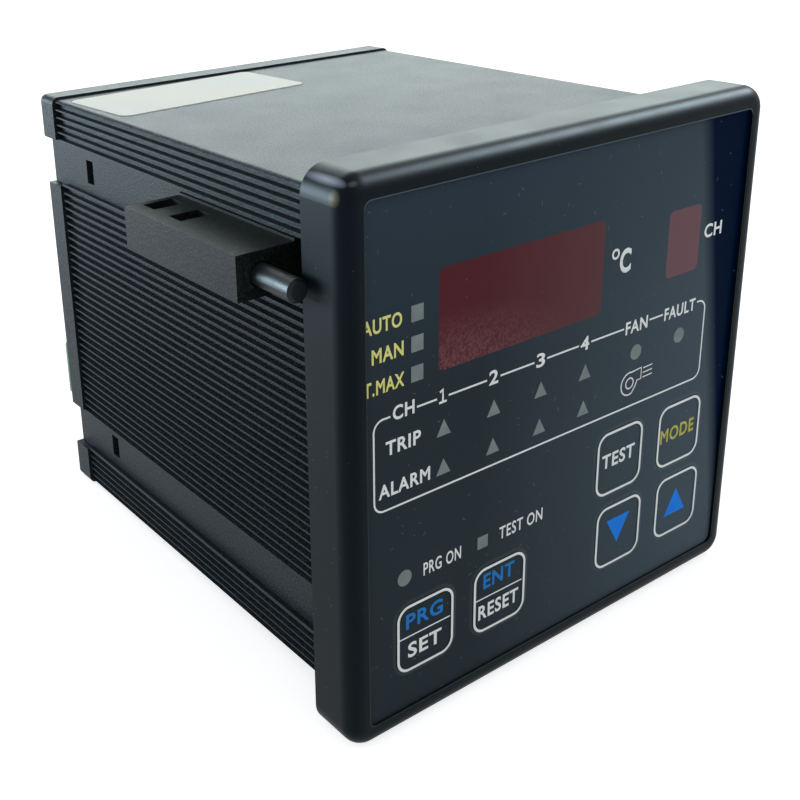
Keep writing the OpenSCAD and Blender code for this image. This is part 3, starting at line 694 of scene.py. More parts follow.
FINISHES: dict[str, Finish] = {
    "bezel": Finish("bezel_satin", (0.001, 0.004, 0.006), (0.002, 0.005, 0.008), 25, (0.4, 0.46),
                    1500, 0.008, 0.07, mirror=COOL, layers=BEZEL_WEAR_AND_HIGHLIGHT),
    # The film: dust and hair marks, with painted reflections.
    "film": Finish("dusty_film", (0.026, 0.037, 0.044), (0.029, 0.04, 0.048), 30, (0.42, 0.5),
                   2600, 0.006, 0.01, layers=FILM_WEAR_AND_REFLECTION),
    # A lighter copy of the film for the rims round the keys: a painted highlight.
    "raised_film": Finish("raised_film", (0.034, 0.047, 0.051), (0.037, 0.05, 0.054), 30,
                          (0.42, 0.5), 2600, 0.006, 0.04, layers=FILM_WEAR_AND_REFLECTION),
    "window": Finish("ruby_filter", (0.07, 0.006, 0.011), (0.08, 0.008, 0.014), 60, (0.3, 0.36),
                     2200, 0.008, 0.08,
                     layers=((WINDOW_PAINTED_REFLECTION, (0.095, 0.03, 0.036)), *WINDOW_WEAR)),
    # The same red filter, paler in its base colour as a painted sheen.
    "channel_window": Finish("ruby_filter_hazy", (0.125, 0.055, 0.069), (0.14, 0.062, 0.077), 60,
                             (0.3, 0.36), 2200, 0.008, 0.12,
                             layers=((WINDOW_PAINTED_REFLECTION, (0.135, 0.058, 0.071)), *WINDOW_WEAR)),
    # Painted highlight: the opening's edge is pale along its top.
    "opening": Finish("opening_edge", (0.02, 0.028, 0.03), (0.026, 0.034, 0.036), 60, (0.4, 0.5),
                      2600, 0.006, 0.1,
                      layers=((Ramp(UPWARD, (0.0445, 0.0455)), (0.075, 0.095, 0.108)),)),
    "lamp": Finish("grey_lamp", (0.155, 0.19, 0.19), (0.205, 0.235, 0.23), 300, (0.4, 0.5), 1500,
                   0.01, 0.2),
    "housing": Finish("housing_grain", (0.017, 0.023, 0.028), (0.021, 0.027, 0.032), 22,
                      (0.44, 0.48), 2600, 0.08, 0.08, speckle=0.7, mirror=COOL),
    "clamp": Finish("clamp_grain", (0.008, 0.011, 0.011), (0.012, 0.015, 0.014), 120,
                    (0.42, 0.5), 2300, 0.06, 0.075, speckle=0.6, mirror=(0.95, 1.0, 1.0),
                    layers=CLAMP_WEAR),
    "nose": Finish("nose_plastic", (0.004, 0.006, 0.007), (0.007, 0.009, 0.01), 150,
                   (0.42, 0.5), 1600, 0.03, 0.2, mirror=COOL),
    "label": Finish("blank_paper", (0.74, 0.77, 0.72), (0.78, 0.78, 0.7), 45, (0.6, 0.7), 900,
                    0.01, 0.02),
    "white_ink": InkFinish("white_ink", (0.82, 0.85, 0.83), (0.87, 0.89, 0.87), specular=0.2),
    "yellow_ink": InkFinish("yellow_ink", (0.76, 0.73, 0.2), (0.82, 0.78, 0.24), specular=0.2),
    "blue_ink": InkFinish("blue_ink", (0.004, 0.175, 0.53), (0.008, 0.19, 0.58)),
    "sky_ink": InkFinish("sky_ink", (0.003, 0.205, 0.78), (0.006, 0.22, 0.84), specular=0.1),
    # Yellow ink darkened as painted shade.
    "olive_ink": InkFinish("olive_ink", (0.47, 0.44, 0.06), (0.54, 0.5, 0.08)),
    "black": Finish("black_moulding", (0.014, 0.015, 0.017), (0.02, 0.021, 0.023), 90,
                    (0.35, 0.5), 2400, 0.02, 0.4),
    "board": Finish("board_varnish", (0.01, 0.09, 0.035), (0.014, 0.12, 0.045), 180,
                    (0.25, 0.4), 900, 0.02),
    "steel": Finish("zinc_steel", (0.5, 0.51, 0.52), (0.6, 0.6, 0.6), 260, (0.25, 0.45), 1800,
                    0.012, metal=1.0),
    "blackened": Finish("blackened_steel", (0.05, 0.055, 0.058), (0.075, 0.08, 0.083), 260,
                        (0.3, 0.45), 1800, 0.012, metal=0.6),
    "core": Finish("stacked_sheets", (0.09, 0.085, 0.08), (0.14, 0.13, 0.12), 400, (0.35, 0.6),
                   2600, 0.06, metal=0.6),
    "copper": Finish("wound_copper", (0.45, 0.16, 0.06), (0.6, 0.24, 0.1), 1500, (0.25, 0.4),
                     3200, 0.1, metal=0.7),
    "resin": Finish("clear_resin", (0.5, 0.5, 0.45), (0.6, 0.6, 0.55), 300, (0.1, 0.2), 1500,
                    0.004),
    "digits": Finish("unlit_segments", (0.28, 0.25, 0.23), (0.34, 0.3, 0.28), 300, (0.35, 0.45),
                     2000, 0.01, 0.4),
    "relay": Finish("relay_blue", (0.012, 0.05, 0.2), (0.02, 0.07, 0.25), 90, (0.3, 0.42), 2200,
                    0.015),
    "can": Finish("capacitor_sleeve", (0.01, 0.012, 0.03), (0.02, 0.022, 0.045), 120,
                  (0.2, 0.35), 1600, 0.01),
    "plug": Finish("terminal_green", (0.016, 0.15, 0.045), (0.022, 0.19, 0.06), 110,
                   (0.35, 0.48), 2300, 0.02),
}


def wear_finish(obj: Piece, finish: str) -> None:
    """Gives all of a piece one finish, by its key in FINISHES."""
    obj.data.materials.clear()
    obj.data.materials.append(FINISHES[finish].make())


def enter(piece: Piece, finish: str, body: str,
          replaced: str = "") -> Piece:
    """Dresses a piece, hangs it on its body and reports it.

    Args:
        piece: The piece.
        finish: A key of FINISHES.
        body: The body that it rides on.
        replaced: The CAD piece that it stands in for, if any.

    Returns:
        The piece.
    """
    wear_finish(piece, finish)
    if replaced:
        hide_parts(replaced)
    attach(piece, body)
    LOG.info("%s: %d faces", piece.name, len(piece.data.polygons))
    return piece


@dataclass
class Dresser:
    """Puts a finish on every piece that comes from the CAD model."""

    plan: dict[str, tuple[str, ...]] = field(default_factory=lambda: {
        "bezel": ("front_bezel",),
        "film": ("front_film", "key_program", "key_enter", "key_test", "key_mode", "key_down",
                 "key_up"),
        "window": ("temperature_window",),
        "channel_window": ("channel_window",),
        "lamp": ("lamp_windows",),
        "housing": ("housing_tube", "rear_cover"),
        "clamp": ("clamp_left", "clamp_right"),
        "nose": ("clamp_left_nose", "clamp_right_nose"),
        "label": ("blank_label",),
        "board": ("display_board", "upper_board", "lower_board"),
        "black": ("temperature_display", "channel_display", "key_switches", "controller_chip",
                  "converter_chip", "upper_link_header", "lower_link_header", "relay_socket",
                  "sensor_socket", "supply_socket", "voltage_regulator"),
        "steel": ("display_board_screws", "cover_screws", "quartz_crystal", "socket_pins",
                  "relay_plug_screws", "sensor_plug_screws", "supply_plug_screws",
                  "clamp_left_screw", "clamp_right_screw"),
        "digits": ("temperature_digits", "channel_digit"),
        "resin": ("indicator_diodes",),
        "core": ("transformer_core",),
        "copper": ("transformer_coil",),
        "can": ("main_capacitor", "small_capacitors"),
        "relay": ("relay_alarm", "relay_trip", "relay_fan", "relay_fault"),
        "plug": ("relay_plug", "sensor_plug", "supply_plug"),
    })

    def dress(self, nodes: dict[str, Piece]) -> None:
        """Gives each node its material.

        Args:
            nodes: The CAD pieces by name.
        """
        for finish, names in self.plan.items():
            for name in names:
                wear_finish(nodes[name], finish)
        bare = set(nodes) - {n for names in self.plan.values() for n in names}
        LOG.info("finishes on %d pieces, none on %s", len(nodes) - len(bare), sorted(bare))


@dataclass
class Word:
    """A printed word, by its centre and its size over the letters."""

    text: str
    at: Point
    width: float
    height: float = 2.5
    bold: float = 0.024
    spread: float = 1.1
    curve_steps: int = 4

    def print(self, y: float, thickness: float, origin: Point = (0.0, 0.0)) -> Piece:
        """Makes the word as a thin closed mesh.

        Args:
            y: Depth of the surface it is printed on, in mm.
            thickness: Of the ink, in mm.
            origin: What its centre is measured from, x and z in mm.

        Returns:
            The word.
        """
        Bench.clear()
        bpy.ops.object.text_add(location=(0, 0, 0))
        letters = bpy.context.active_object.data
        letters.body = self.text
        letters.size = 1.0
        letters.space_character = self.spread
        letters.bevel_depth = self.bold
        letters.bevel_resolution = 0
        letters.resolution_u = self.curve_steps
        letters.extrude = self.bold / 2
        bpy.ops.object.convert(target="MESH")
        text = bpy.context.active_object
        xs = [v.co.x for v in text.data.vertices]
        ys = [v.co.y for v in text.data.vertices]
        middle = Vector(((max(xs) + min(xs)) / 2, (max(ys) + min(ys)) / 2, 0))
        text.data.transform(Matrix.Translation(-middle))
        text.scale = (self.width * MM / (max(xs) - min(xs)),
                      self.height * MM / (max(ys) - min(ys)), thickness * MM / (3 * self.bold))
        text.rotation_euler = UPRIGHT
        text.location = ((origin[0] + self.at[0]) * MM, (y - thickness / 2) * MM,
                         (origin[1] + self.at[1]) * MM)
        return Bench.settle("word")


@dataclass
class Stroke:
    """A printed line through points on the front."""

    points: list[Point]
    width: float = 0.3
    closed: bool = False

    def print(self, y: float, thickness: float) -> Piece:
        """Makes the line as a thin closed mesh.

        Args:
            y: Depth of the surface it is printed on, in mm.
            thickness: Of the ink, in mm.

        Returns:
            The line.
        """
        data = bpy.data.curves.new("stroke", "CURVE")
        data.dimensions = "3D"
        data.bevel_depth = self.width / 2 * MM
        data.bevel_resolution = 1
        data.use_fill_caps = True
        spline = data.splines.new("POLY")
        spline.points.add(len(self.points) - 1)
        for point, (x, z) in zip(spline.points, self.points):
            point.co = (x * MM, 0, z * MM, 1)
        spline.use_cyclic_u = self.closed
        obj = bpy.data.objects.new("stroke", data)
        bpy.context.scene.collection.objects.link(obj)
        Bench.take(obj)
        bpy.ops.object.convert(target="MESH")
        obj = bpy.context.active_object
        obj.scale = (1, thickness / self.width, 1)
        obj.location = (0, (y - thickness / 2) * MM, 0)
        return Bench.settle("stroke")


def arc(centre: Point, radius: float, start: float, end: float, steps: int) -> list[Point]:
    """Points along an arc.

    Args:
        centre: Its centre.
        radius: Its radius.
        start: First angle in degrees, from the right, counter-clockwise.
        end: Last angle in degrees.
        steps: How many stretches.

    Returns:
        The points.
    """
    turns = [math.radians(start + (end - start) * i / steps) for i in range(steps + 1)]
    return [(centre[0] + radius * math.cos(a), centre[1] + radius * math.sin(a)) for a in turns]


@dataclass
class Legends:
    """All that is printed on the film: words, the channel box and the blower sign."""

    film: Extent = field(default_factory=lambda: Extent.of("front_film"))
    ink: float = 0.03
    sunk: float = 0.005
    box: tuple[float, float, float, float] = (-44.35, -6.05, 37.7, 10.5)
    box_line: float = 0.33
    box_corner: float = 2.1
    box_row: Point = (9.0, 11.0)
    gap: float = 0.5
    white: list[Word] = field(default_factory=lambda: [
        Word("CH", (-38.1, 10.65), 4.45), Word("2", (-18.6, 10.5), 2.1, 2.6),
        Word("3", (-7.5, 10.4), 2.1, 2.6), Word("4", (3.6, 10.4), 2.2, 2.6),
        Word("FAN", (17.5, 10.2), 6.1), Word("FAULT", (29.9, 10.1), 9.1),
        Word("TRIP", (-38.15, 4.95), 7.3), Word("ALARM", (-37.9, -2.35), 10.8),
        Word("CH", (37.9, 24.2), 5.2, 2.7), Word("C", (13.1, 23.6), 3.0, 4.6, 0.034),
        Word("PRG ON", (-29.55, -20.2), 8.5, 2.5, 0.014),
        Word("TEST ON", (-10.8, -20.25), 10.8, 2.5, 0.014)])
    yellow: list[Word] = field(default_factory=lambda: [
        Word("AUTO", (-42.3, 26.1), 7.8), Word("MAN", (-41.25, 21.2), 6.3),
        Word("T.MAX", (-42.0, 16.0), 8.1)])
    one: Point = (-29.9, 10.6)
    one_half: float = 1.25
    one_strokes: tuple[tuple[tuple[Point, ...], float], ...] = (
        (((-0.6, 0.72), (0.02, 1.1), (0.02, -1.1)), 0.52),
        (((-0.82, -1.12), (0.86, -1.12)), 0.46))
    degree: Point = (10.4, 25.4)
    degree_size: float = 2.0
    degree_line: float = 0.42
    degree_rounds: int = 6
    degree_flat: float = 0.02
    hub: Point = (16.55, -1.15)
    hub_r: float = 1.05
    hub_arc: tuple[float, float, int] = (0, 345, 16)
    snail: Point = (16.45, -1.2)
    snail_r: float = 2.25
    snail_arc: tuple[float, float, int] = (75, 292, 14)
    mouth: tuple[Point, ...] = ((18.3, -2.0), (18.6, -1.1), (19.75, -1.05), (19.7, 1.2))
    blower_line: float = 0.32
    draught: tuple[Point, Point] = ((20.2, 0.93), (22.85, 1.0))
    draught_pitch: float = 0.94
    draught_line: float = 0.26
    draught_lines: int = 3

    def build(self) -> None:
        """Makes the white and the yellow piece."""
        y = self.film.front + self.sunk
        white = [word.print(y, self.ink) for word in self.white]
        white += [self.channel_box(y), *(line.print(y, self.ink) for line in self.strokes())]
        sign = Panel.disc(self.degree_size, self.degree, y, self.degree_rounds, self.degree_flat)
        white.append(Bench.thicken(sign.ring("degree", self.degree_line), self.ink))
        yellow = [word.print(y, self.ink) for word in self.yellow]
        for name, words, ink in (("white_print", white, Ink.WHITE),
                                 ("yellow_print", yellow, Ink.YELLOW)):
            enter(Bench.join(name, words), ink.value, "controller")

    def channel_box(self, y: float) -> Piece:
        """The outline round the channel lamps, open where the top words stand.

        Args:
            y: Depth of the film in mm.

        Returns:
            The outline.
        """
        left, low, right, high = self.box
        middle = ((left + right) / 2, (low + high) / 2)
        outline = Panel((right - left, high - low), middle, y, self.box_corner)
        obj = outline.ring("channel_box", self.box_line)
        openings = [(word.at[0] - word.width / 2 - self.gap, word.at[0] + word.width / 2 + self.gap)
                    for word in self.white if self.box_row[0] < word.at[1] < self.box_row[1]]
        openings.append((self.one[0] - self.one_half, self.one[0] + self.one_half))
        for start, end in openings:
            for x in (start, end):
                Bench.edit(obj)
                bpy.ops.mesh.bisect(plane_co=(x * MM, 0, 0), plane_no=(1, 0, 0))
            Bench.pick(obj, Part.FACE, lambda face, a=start, b=end:
                       a * MM < face.center.x < b * MM and face.center.z > middle[1] * MM)
            bpy.ops.mesh.delete(type="FACE")
        return Bench.thicken(obj, self.ink)

    def strokes(self) -> list[Stroke]:
        """The figure 1 with its flag and foot, and the blower sign under the fan's lamp.

        Returns:
            Their strokes.
        """
        lines = [Stroke([(self.one[0] + x, self.one[1] + z) for x, z in points], width)
                 for points, width in self.one_strokes]
        shell = arc(self.snail, self.snail_r, *self.snail_arc) + list(self.mouth)
        lines.append(Stroke(shell, self.blower_line, True))
        lines.append(Stroke(arc(self.hub, self.hub_r, *self.hub_arc), self.blower_line, True))
        for step in range(self.draught_lines):
            drop = step * self.draught_pitch
            lines.append(Stroke([(x, z - drop) for x, z in self.draught], self.draught_line))
        return lines


@dataclass
class KeyCap:
    """One key: a thin pad with an embossed edge, its outline and its words."""

    node: str
    words: tuple[tuple[Word, Ink], ...] = ()
    arrow: int = 0
    divider: bool = False
    corner: float = 2.7
    profile: tuple[Point, ...] = ((0.03, 0.6), (0.04, 0.36), (0.5, 0.04), (0.03, -0.35),
                                  (0.07, -0.55))
    outline_depth: float = 0.08
    facing: float = -0.8
    skirt: float = 1.2
    stem: float = 3.6
    overlap: float = 0.05
    ink: float = 0.03
    lift: float = 0.02
    line_inset: float = 0.4
    line_z: float = 0.2
    smooth: float = 50.0
    arrow_r: float = 3.95
    arrow_scale: float = 0.95
    arrow_z: tuple[float, float] = (-0.65, 1.4)

    def build(self) -> None:
        """Makes the key and its prints in place of the CAD solid."""
        box = Extent.of(self.node)
        face = Extent.of("front_film").front
        cap = enter(self.pad(box, face), "film", self.node, self.node)
        cap.data.materials.append(FINISHES[Ink.WHITE.value].make())
        top = (box.front + self.outline_depth * (face - box.front)) * MM
        for polygon in cap.data.polygons:
            if polygon.center.y < top and polygon.normal.y < self.facing:
                polygon.material_index = 1
        for ink, objs in self.prints(box, face - self.lift).items():
            piece = Bench.join(f"{self.node}_{ink.name.lower()}_print", objs)
            enter(piece, ink.value, self.node)

    def pad(self, box: Extent, face: float) -> Piece:
        """The embossed pad with its stem.

        Args:
            box: The key's box.
            face: Depth of the film's face in mm.

        Returns:
            The pad.
        """
        rise = face - box.front
        pad = Panel(box.size, box.centre, face, self.corner).plate("pad")
        Bench.edit(pad)
        Bench.steps((inward, share * rise) for inward, share in self.profile)
        Bench.edit(pad)
        bpy.ops.mesh.select_mode(type="EDGE")
        bpy.ops.mesh.select_all(action="DESELECT")
        bpy.ops.mesh.select_non_manifold()
        bpy.ops.mesh.extrude_edges_move(
            TRANSFORM_OT_translate={"value": (0, self.skirt * MM, 0)})
        bpy.ops.mesh.edge_face_add()
        Bench.close(pad, self.smooth)
        root = face + self.skirt - self.overlap
        stem = Panel.disc(self.stem, box.centre, root).plate("stem")
        Bench.edit(stem)
        Bench.extrude(box.back - root)
        return Bench.join(f"{self.node}_cap", [pad, Bench.close(stem)])

    def prints(self, box: Extent, y: float) -> dict[Ink, list[Piece]]:
        """The words, arrow and dividing line of the key.

        Args:
            box: The key's box.
            y: Depth of the printed face in mm.

        Returns:
            The prints of each ink.
        """
        made: dict[Ink, list[Piece]] = {}
        for word, ink in self.words:
            made.setdefault(ink, []).append(word.print(y, self.ink, box.centre))
        if self.arrow:
            made.setdefault(Ink.SKY, []).append(self.triangle(box.centre, y))
        if self.divider:
            x, z = box.centre
            half = box.size[0] / 2 - self.line_inset
            line = Stroke([(x - half, z + self.line_z), (x + half, z + self.line_z)])
            made.setdefault(Ink.WHITE, []).append(line.print(y, self.ink))
        return made

    def triangle(self, at: Point, y: float) -> Piece:
        """The blue arrow head.

        Args:
            at: Centre x and z in mm.
            y: Depth of the surface in mm.

        Returns:
            The arrow head.
        """
        Bench.clear()
        z = at[1] + self.arrow_z[self.arrow < 0]
        bpy.ops.mesh.primitive_circle_add(
            vertices=3, radius=self.arrow_r * MM, fill_type="NGON",
            location=(at[0] * MM, y * MM, z * MM), rotation=UPRIGHT)
        bpy.context.active_object.scale = (self.arrow_scale, self.arrow * self.arrow_scale, 1)
        return Bench.thicken(Bench.settle("arrow"), self.ink)


KEYS: tuple[KeyCap, ...] = (
    KeyCap("key_program", divider=True, words=(
        (Word("PRG", (-0.1, 3.2), 8.3, 3.0), Ink.BLUE),
        (Word("SET", (0.0, -2.7), 7.6, 3.0), Ink.WHITE))),
    KeyCap("key_enter", divider=True, words=(
        (Word("ENT", (-0.1, 3.55), 7.6, 3.0), Ink.BLUE),
        (Word("RESET", (0.0, -2.6), 9.9, 3.0), Ink.WHITE))),
    KeyCap("key_test", ((Word("TEST", (-0.1, 0.45), 9.2, 3.0), Ink.WHITE),)),
    # MODE is printed in the yellow ink darkened as painted shade.
    KeyCap("key_mode", ((Word("MODE", (-0.2, 0.1), 10.2, 3.0), Ink.OLIVE),)),
    KeyCap("key_down", arrow=-1),
    KeyCap("key_up", arrow=1),
)


@dataclass
class EmbossedRims:
    """The film's soft swelling round each key opening, in a lighter copy of the film as a painted
    highlight.
    """

    height: float = 0.14
    gap: float = 0.12
    profile: tuple[Point, ...] = ((0.3, 0.4), (0.2, 0.35), (0.15, 0.25))
    corner: float = 3.0
    wall: float = 0.1
    smooth: float = 50.0
    lift: float = 0.01

    def build(self) -> None:
        """Makes the swellings as one piece."""
        rims = []
        face = Extent.of("front_film").front
        reach = sum(inward for inward, _ in self.profile)
        for key in KEYS:
            box = Extent.of(key.node)
            width, height = (side + 2 * (self.gap + reach) for side in box.size)
            rim = Panel((width, height), box.centre, face + self.lift,
                        self.corner + reach).plate("rim")
            Bench.edit(rim)
            Bench.steps((inward, share * self.height) for inward, share in self.profile)
            bpy.ops.mesh.delete(type="FACE")
            Bench.modify(rim, "SOLIDIFY", thickness=self.wall * MM, offset=-1.0)
            rims.append(Bench.close(rim, self.smooth))
        enter(Bench.join("key_rims", rims), "raised_film", "controller")


@dataclass
class FilmTrim:
    """The edge of the bezel's opening, pale along its top as a painted highlight, and the print
    round the square lamp windows.
    """

    line: float = 0.24
    corner: float = 1.6
    grown: float = 0.1
    sunk: float = 0.2
    thickness: float = 0.12
    border: float = 0.35
    window: float = 2.46
    half_lamp: float = 1.35
    shift: float = -0.1
    mode_pitch: float = 5.05
    mode_lamps: int = 3
    test_lamp: Point = (-20.2, -20.3)
    ink: float = 0.02
    ink_sunk: float = 0.002

    def build(self) -> None:
        """Makes both pieces."""
        film, lamps = Extent.of("front_film"), Extent.of("lamp_windows")
        width, height = (side + self.grown for side in film.size)
        opening = Panel((width, height), (0, 0), Extent.of("front_bezel").front + self.sunk,
                        self.corner)
        edge = Bench.thicken(opening.ring("opening_edge", self.line), self.thickness)
        enter(edge, "opening", "controller")
        x, top = lamps.left + self.half_lamp + self.shift, lamps.top - self.half_lamp
        squares = [(x, top - step * self.mode_pitch) for step in range(self.mode_lamps)]
        side = self.window + 2 * self.border
        borders = [Panel((side, side), at, film.front + self.ink_sunk, 0.0).ring(
            "border", self.border) for at in (*squares, self.test_lamp)]
        masks = Bench.join("lamp_borders", [Bench.thicken(one, self.ink) for one in borders])
        enter(masks, "film", "controller")


@dataclass
class PressureScrew:
    """The threaded screw behind a clamp's nose, slotted at its rear end."""

    node: str
    pitch: float = 0.7
    depth: float = 0.38
    crest: Point = (0.25, 0.4)
    steps: int = 24
    slot_depth: float = 2.0
    slot_width: float = 0.8
    slot_reach: float = 1.5
    smooth: float = 25.0

    def build(self) -> None:
        """Makes the thread in place of the CAD solid."""
        box = Extent.of(self.node)
        x, z = box.centre
        screw = self.thread(box)
        for y, normal in ((box.front, -1), (box.back, 1)):
            Bench.edit(screw)
            bpy.ops.mesh.remove_doubles(threshold=TOUCH)
            bpy.ops.mesh.bisect(plane_co=(0, y * MM, 0), plane_no=(0, normal, 0), use_fill=True,
                                clear_outer=True)
        Bench.close(screw, self.smooth)
        Bench.cut(screw, (x, box.back, z),
                  (self.slot_reach * box.size[0], self.slot_depth, self.slot_width))
        enter(screw, "blackened", self.node, self.node)

    def thread(self, box: Extent) -> Piece:
        """Turns one profile of the thread into a helix, longer than the screw at both ends.

        Args:
            box: The screw's box.

        Returns:
            The helix.
        """
        radius, pitch = box.size[0] / 2 * MM, self.pitch * MM
        root = radius - self.depth * MM
        Bench.clear()
        bpy.ops.mesh.primitive_plane_add(size=1, location=(0, 0, 0))
        screw = bpy.context.active_object
        profile = ((0, root), (self.crest[0] * pitch, radius), (pitch, root),
                   (self.crest[1] * pitch, radius))
        vertices = screw.data.vertices
        for vertex, (y, r) in zip(vertices, profile):
            vertex.co = (r, y, 0)
        Bench.edit(screw)
        bpy.ops.mesh.delete(type="ONLY_FACE")
        Bench.pick(screw, Part.EDGE, lambda edge: all(
            abs(screw.data.vertices[v].co.x - root) < TOUCH for v in edge.vertices))
        bpy.ops.mesh.delete(type="EDGE")
        turns = math.ceil((box.back - box.front) / self.pitch) + 2
        Bench.modify(screw, "SCREW", axis="Y", angle=2 * math.pi, screw_offset=pitch,
                     iterations=turns, steps=self.steps, render_steps=self.steps,
                     use_merge_vertices=True, merge_threshold=TOUCH, use_normal_calculate=True)
        x, z = box.centre
        screw.location = (x * MM, (box.front - self.pitch) * MM, z * MM)
        return Bench.settle(f"{self.node}_thread")


@dataclass
class CoverScrews:
    """Four pan-head screws with a cross recess, at the corners of the rear cover."""

    node: str = "cover_screws"
    head_r: float = 2.7
    head_h: float = 1.9
    head_round: float = 1.1
    shank: float = 2.6
    shank_rounds: int = 4
    overlap: float = 0.9
    recess: Triple = (2.9, 2.4, 0.6)
    head_sides: int = 40
    head_rounds: int = 5
    smooth: float = 30.0

    def build(self) -> None:
        """Makes one screw and copies it to the four corners."""
        box = Extent.of(self.node)
        at = (box.right - self.head_r, box.top - self.head_r)
        head = self.head(at, box.back)
        shank = Panel.disc(self.shank, at, box.front, self.shank_rounds).plate("shank")
        Bench.edit(shank)
        Bench.extrude(box.back - self.head_h * self.overlap - box.front)
        one = Bench.join("screw", [head, Bench.close(shank)])
        copies = [one]
        for x, z in ((-1, 1), (1, -1), (-1, -1)):
            Bench.take(one)
            bpy.ops.object.duplicate(linked=False)
            bpy.context.active_object.scale = (x, 1, z)
            copies.append(Bench.settle("screw_copy"))
        piece = Bench.close(Bench.join("cover_screws_fine", copies), self.smooth)
        enter(piece, "steel", "controller", self.node)

    def head(self, at: Point, top: float) -> Piece:
        """One rounded head with its recess.

        Args:
            at: Centre x and z in mm.
            top: Its outermost depth in mm.

        Returns:
            The head.
        """
        Bench.clear()
        bpy.ops.mesh.primitive_cylinder_add(
            vertices=self.head_sides, radius=self.head_r * MM, depth=self.head_h * MM,
            location=(at[0] * MM, (top - self.head_h / 2) * MM, at[1] * MM), rotation=UPRIGHT)
        head = Bench.settle("head")
        Bench.pick(head, Part.EDGE, lambda edge: all(
            abs(head.data.vertices[v].co.y - top * MM) < TOUCH for v in edge.vertices))
        bpy.ops.mesh.bevel(offset=self.head_round * MM, segments=self.head_rounds,
                           affect="EDGES")
        Bench.close(head, self.smooth)
        for turn in (0, math.pi / 2):
            Bench.cut(head, (at[0], top, at[1]), self.recess, turn)
        return head


@dataclass
class Softbox:
    """A rectangular soft lamp that looks at the object, in metres and watts."""

    name: str
    place: Triple
    size: Point
    watts: float
    colour: Colour
    sheen_only: bool = False

    def hang(self, target: Triple) -> None:
        """Puts the lamp up; one for sheen only adds no brightness to matt colours.

        Args:
            target: What it looks at.
        """
        data = bpy.data.lights.new(self.name, "AREA")
        data.shape = "RECTANGLE"
        data.size, data.size_y = self.size
        data.energy = self.watts
        data.color = self.colour
        lamp = bpy.data.objects.new(self.name, data)
        lamp.location = self.place
        lamp.visible_camera = False
        lamp.visible_diffuse = not self.sheen_only
        aim = Vector(target) - lamp.location
        lamp.rotation_euler = aim.to_track_quat("-Z", "Y").to_euler()
        bpy.context.scene.collection.objects.link(lamp)


SKY: Colour = (0.86, 1.0, 1.0)
ICE: Colour = (0.8, 0.93, 1.0)
DUSK: Colour = (0.7, 0.88, 1.0)


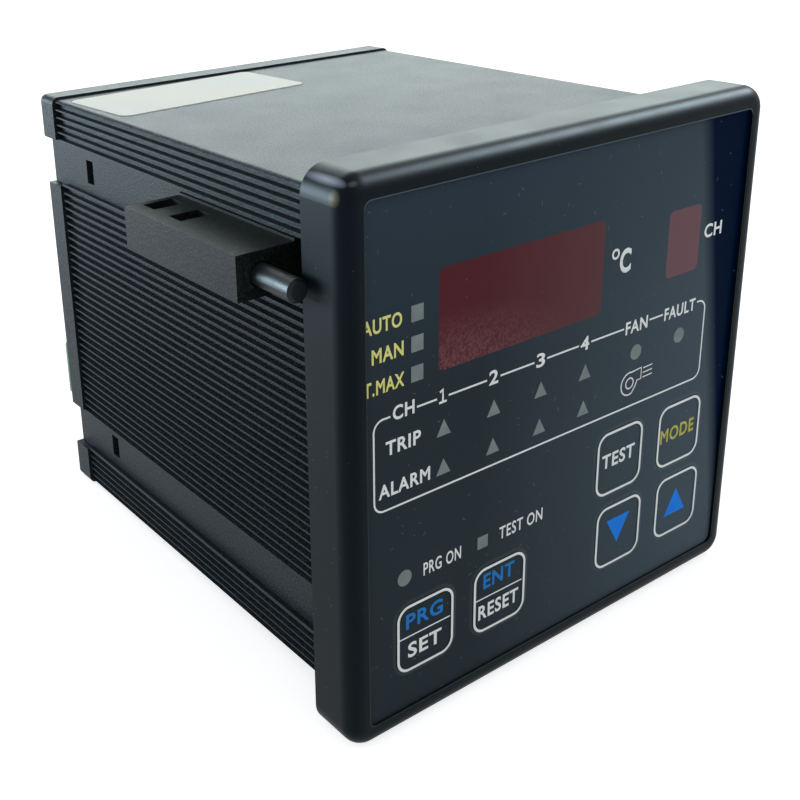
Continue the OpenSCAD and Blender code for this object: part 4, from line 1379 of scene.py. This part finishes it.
@dataclass
class Studio:
    """Pale floor, white surroundings, five soft lamps and the camera."""

    eye: Triple = (-145.77, -134.86, 92.64)
    focal_px: float = 1173.09
    image_px: int = 800
    principal: Point = (300.98, 275.01)
    azimuth: float = 35.325
    elevation: float = 19.757
    roll: float = -1.855
    sensor: float = 36.0
    clip: Point = (0.01, 20.0)
    floor_size: float = 6.0
    floor_colour: Colour = (0.62, 0.62, 0.62)
    floor_glow: float = 0.72
    ambient: float = 0.82
    ambient_colour: Colour = (0.93, 0.97, 1.0)
    white: Colour = (1.0, 1.0, 1.0)
    target: Triple = (0.0, 0.04, 0.0)
    lamps: tuple[Softbox, ...] = (
        Softbox("back_softbox", (0.5, 0.75, 0.42), (1.0, 0.5), 1.6, SKY),
        Softbox("back_sheen", (0.51, 0.765, 0.43), (1.0, 0.5), 8.0, SKY, True),
        Softbox("left_softbox", (-0.55, 0.5, 0.1), (0.5, 0.3), 1.0, ICE),
        Softbox("left_sheen", (-0.565, 0.51, 0.09), (0.5, 0.3), 21.0, DUSK, True),
        Softbox("edge_sheen", (0.57, -0.18, 0.53), (0.45, 0.25), 20.0, ICE, True))

    def build(self) -> None:
        """Sets the floor, the world, the lamps and the camera."""
        self.floor()
        self.world()
        for lamp in self.lamps:
            lamp.hang(self.target)
        self.camera()
        bpy.context.scene.view_settings.view_transform = "Standard"
        LOG.info("studio ready")

    def floor(self) -> None:
        """A pale floor under the bezel's and the rear cover's lower edge, clear from below."""
        bezel, cover = Extent.of("front_bezel"), Extent.of("rear_cover")
        rise = math.atan2(cover.bottom - bezel.bottom, cover.back - bezel.front / 2)
        Bench.clear()
        bpy.ops.mesh.primitive_plane_add(
            size=self.floor_size, location=(0, bezel.front / 2 * MM, bezel.bottom * MM),
            rotation=(rise, 0, 0))
        floor = bpy.context.active_object
        floor.name = "studio_floor"
        material = bpy.data.materials.new("pale_floor")
        graph = Graph.of(material)
        matt = graph.add("BsdfDiffuse", {"Color": self.floor_colour}).outputs["BSDF"]
        glow = graph.add("Emission", {"Strength": self.floor_glow}).outputs["Emission"]
        bright = graph.add("AddShader", {0: matt, 1: glow}).outputs["Shader"]
        above = graph.mix(graph.seen(), matt, bright)
        clear = graph.add("BsdfTransparent").outputs["BSDF"]
        sided = graph.mix(graph.add("NewGeometry").outputs["Backfacing"], above, clear)
        graph.add("OutputMaterial", {"Surface": sided})
        floor.data.materials.append(material)

    def world(self) -> None:
        """White where it is seen or mirrored, and an even dim light elsewhere."""
        world = bpy.data.worlds.new("studio_world")
        bpy.context.scene.world = world
        graph = Graph.of(world)
        lit = graph.add("Background", {"Color": self.ambient_colour, "Strength": self.ambient})
        white = graph.add("Background", {"Color": self.white})
        both = graph.mix(graph.seen(), lit.outputs["Background"], white.outputs["Background"])
        graph.add("OutputWorld", {"Surface": both})

    def camera(self) -> None:
        """The photograph's viewpoint."""
        az, el, roll = (math.radians(a) for a in (self.azimuth, self.elevation, self.roll))
        look = Vector((math.sin(az) * math.cos(el), math.cos(az) * math.cos(el), -math.sin(el)))
        side = look.cross(Vector((0, 0, 1))).normalized()
        up = side.cross(look)
        right = math.cos(roll) * side + math.sin(roll) * up
        top = -math.sin(roll) * side + math.cos(roll) * up
        data = bpy.data.cameras.new("camera")
        data.sensor_width = self.sensor
        data.lens = self.focal_px / self.image_px * self.sensor
        data.shift_x = (self.image_px / 2 - self.principal[0]) / self.image_px
        data.shift_y = (self.principal[1] - self.image_px / 2) / self.image_px
        data.clip_start, data.clip_end = self.clip
        camera = bpy.data.objects.new("camera", data)
        turn = Matrix((right, top, -look)).transposed().to_4x4()
        camera.matrix_world = Matrix.Translation(Vector(self.eye) * MM) @ turn
        bpy.context.scene.collection.objects.link(camera)
        bpy.context.scene.camera = camera


def main() -> None:
    """Builds the looks in order and reports each piece."""
    logging.basicConfig(level=logging.INFO, format="%(name)s: %(message)s")
    Dresser().dress(frame["nodes"])
    Studio().build()
    Legends().build()
    for key in KEYS:
        key.build()
    EmbossedRims().build()
    FilmTrim().build()
    for side in ("left", "right"):
        PressureScrew(f"clamp_{side}_screw").build()
    CoverScrews().build()
    Bench.clear()


if __name__ == "__main__":
    main()
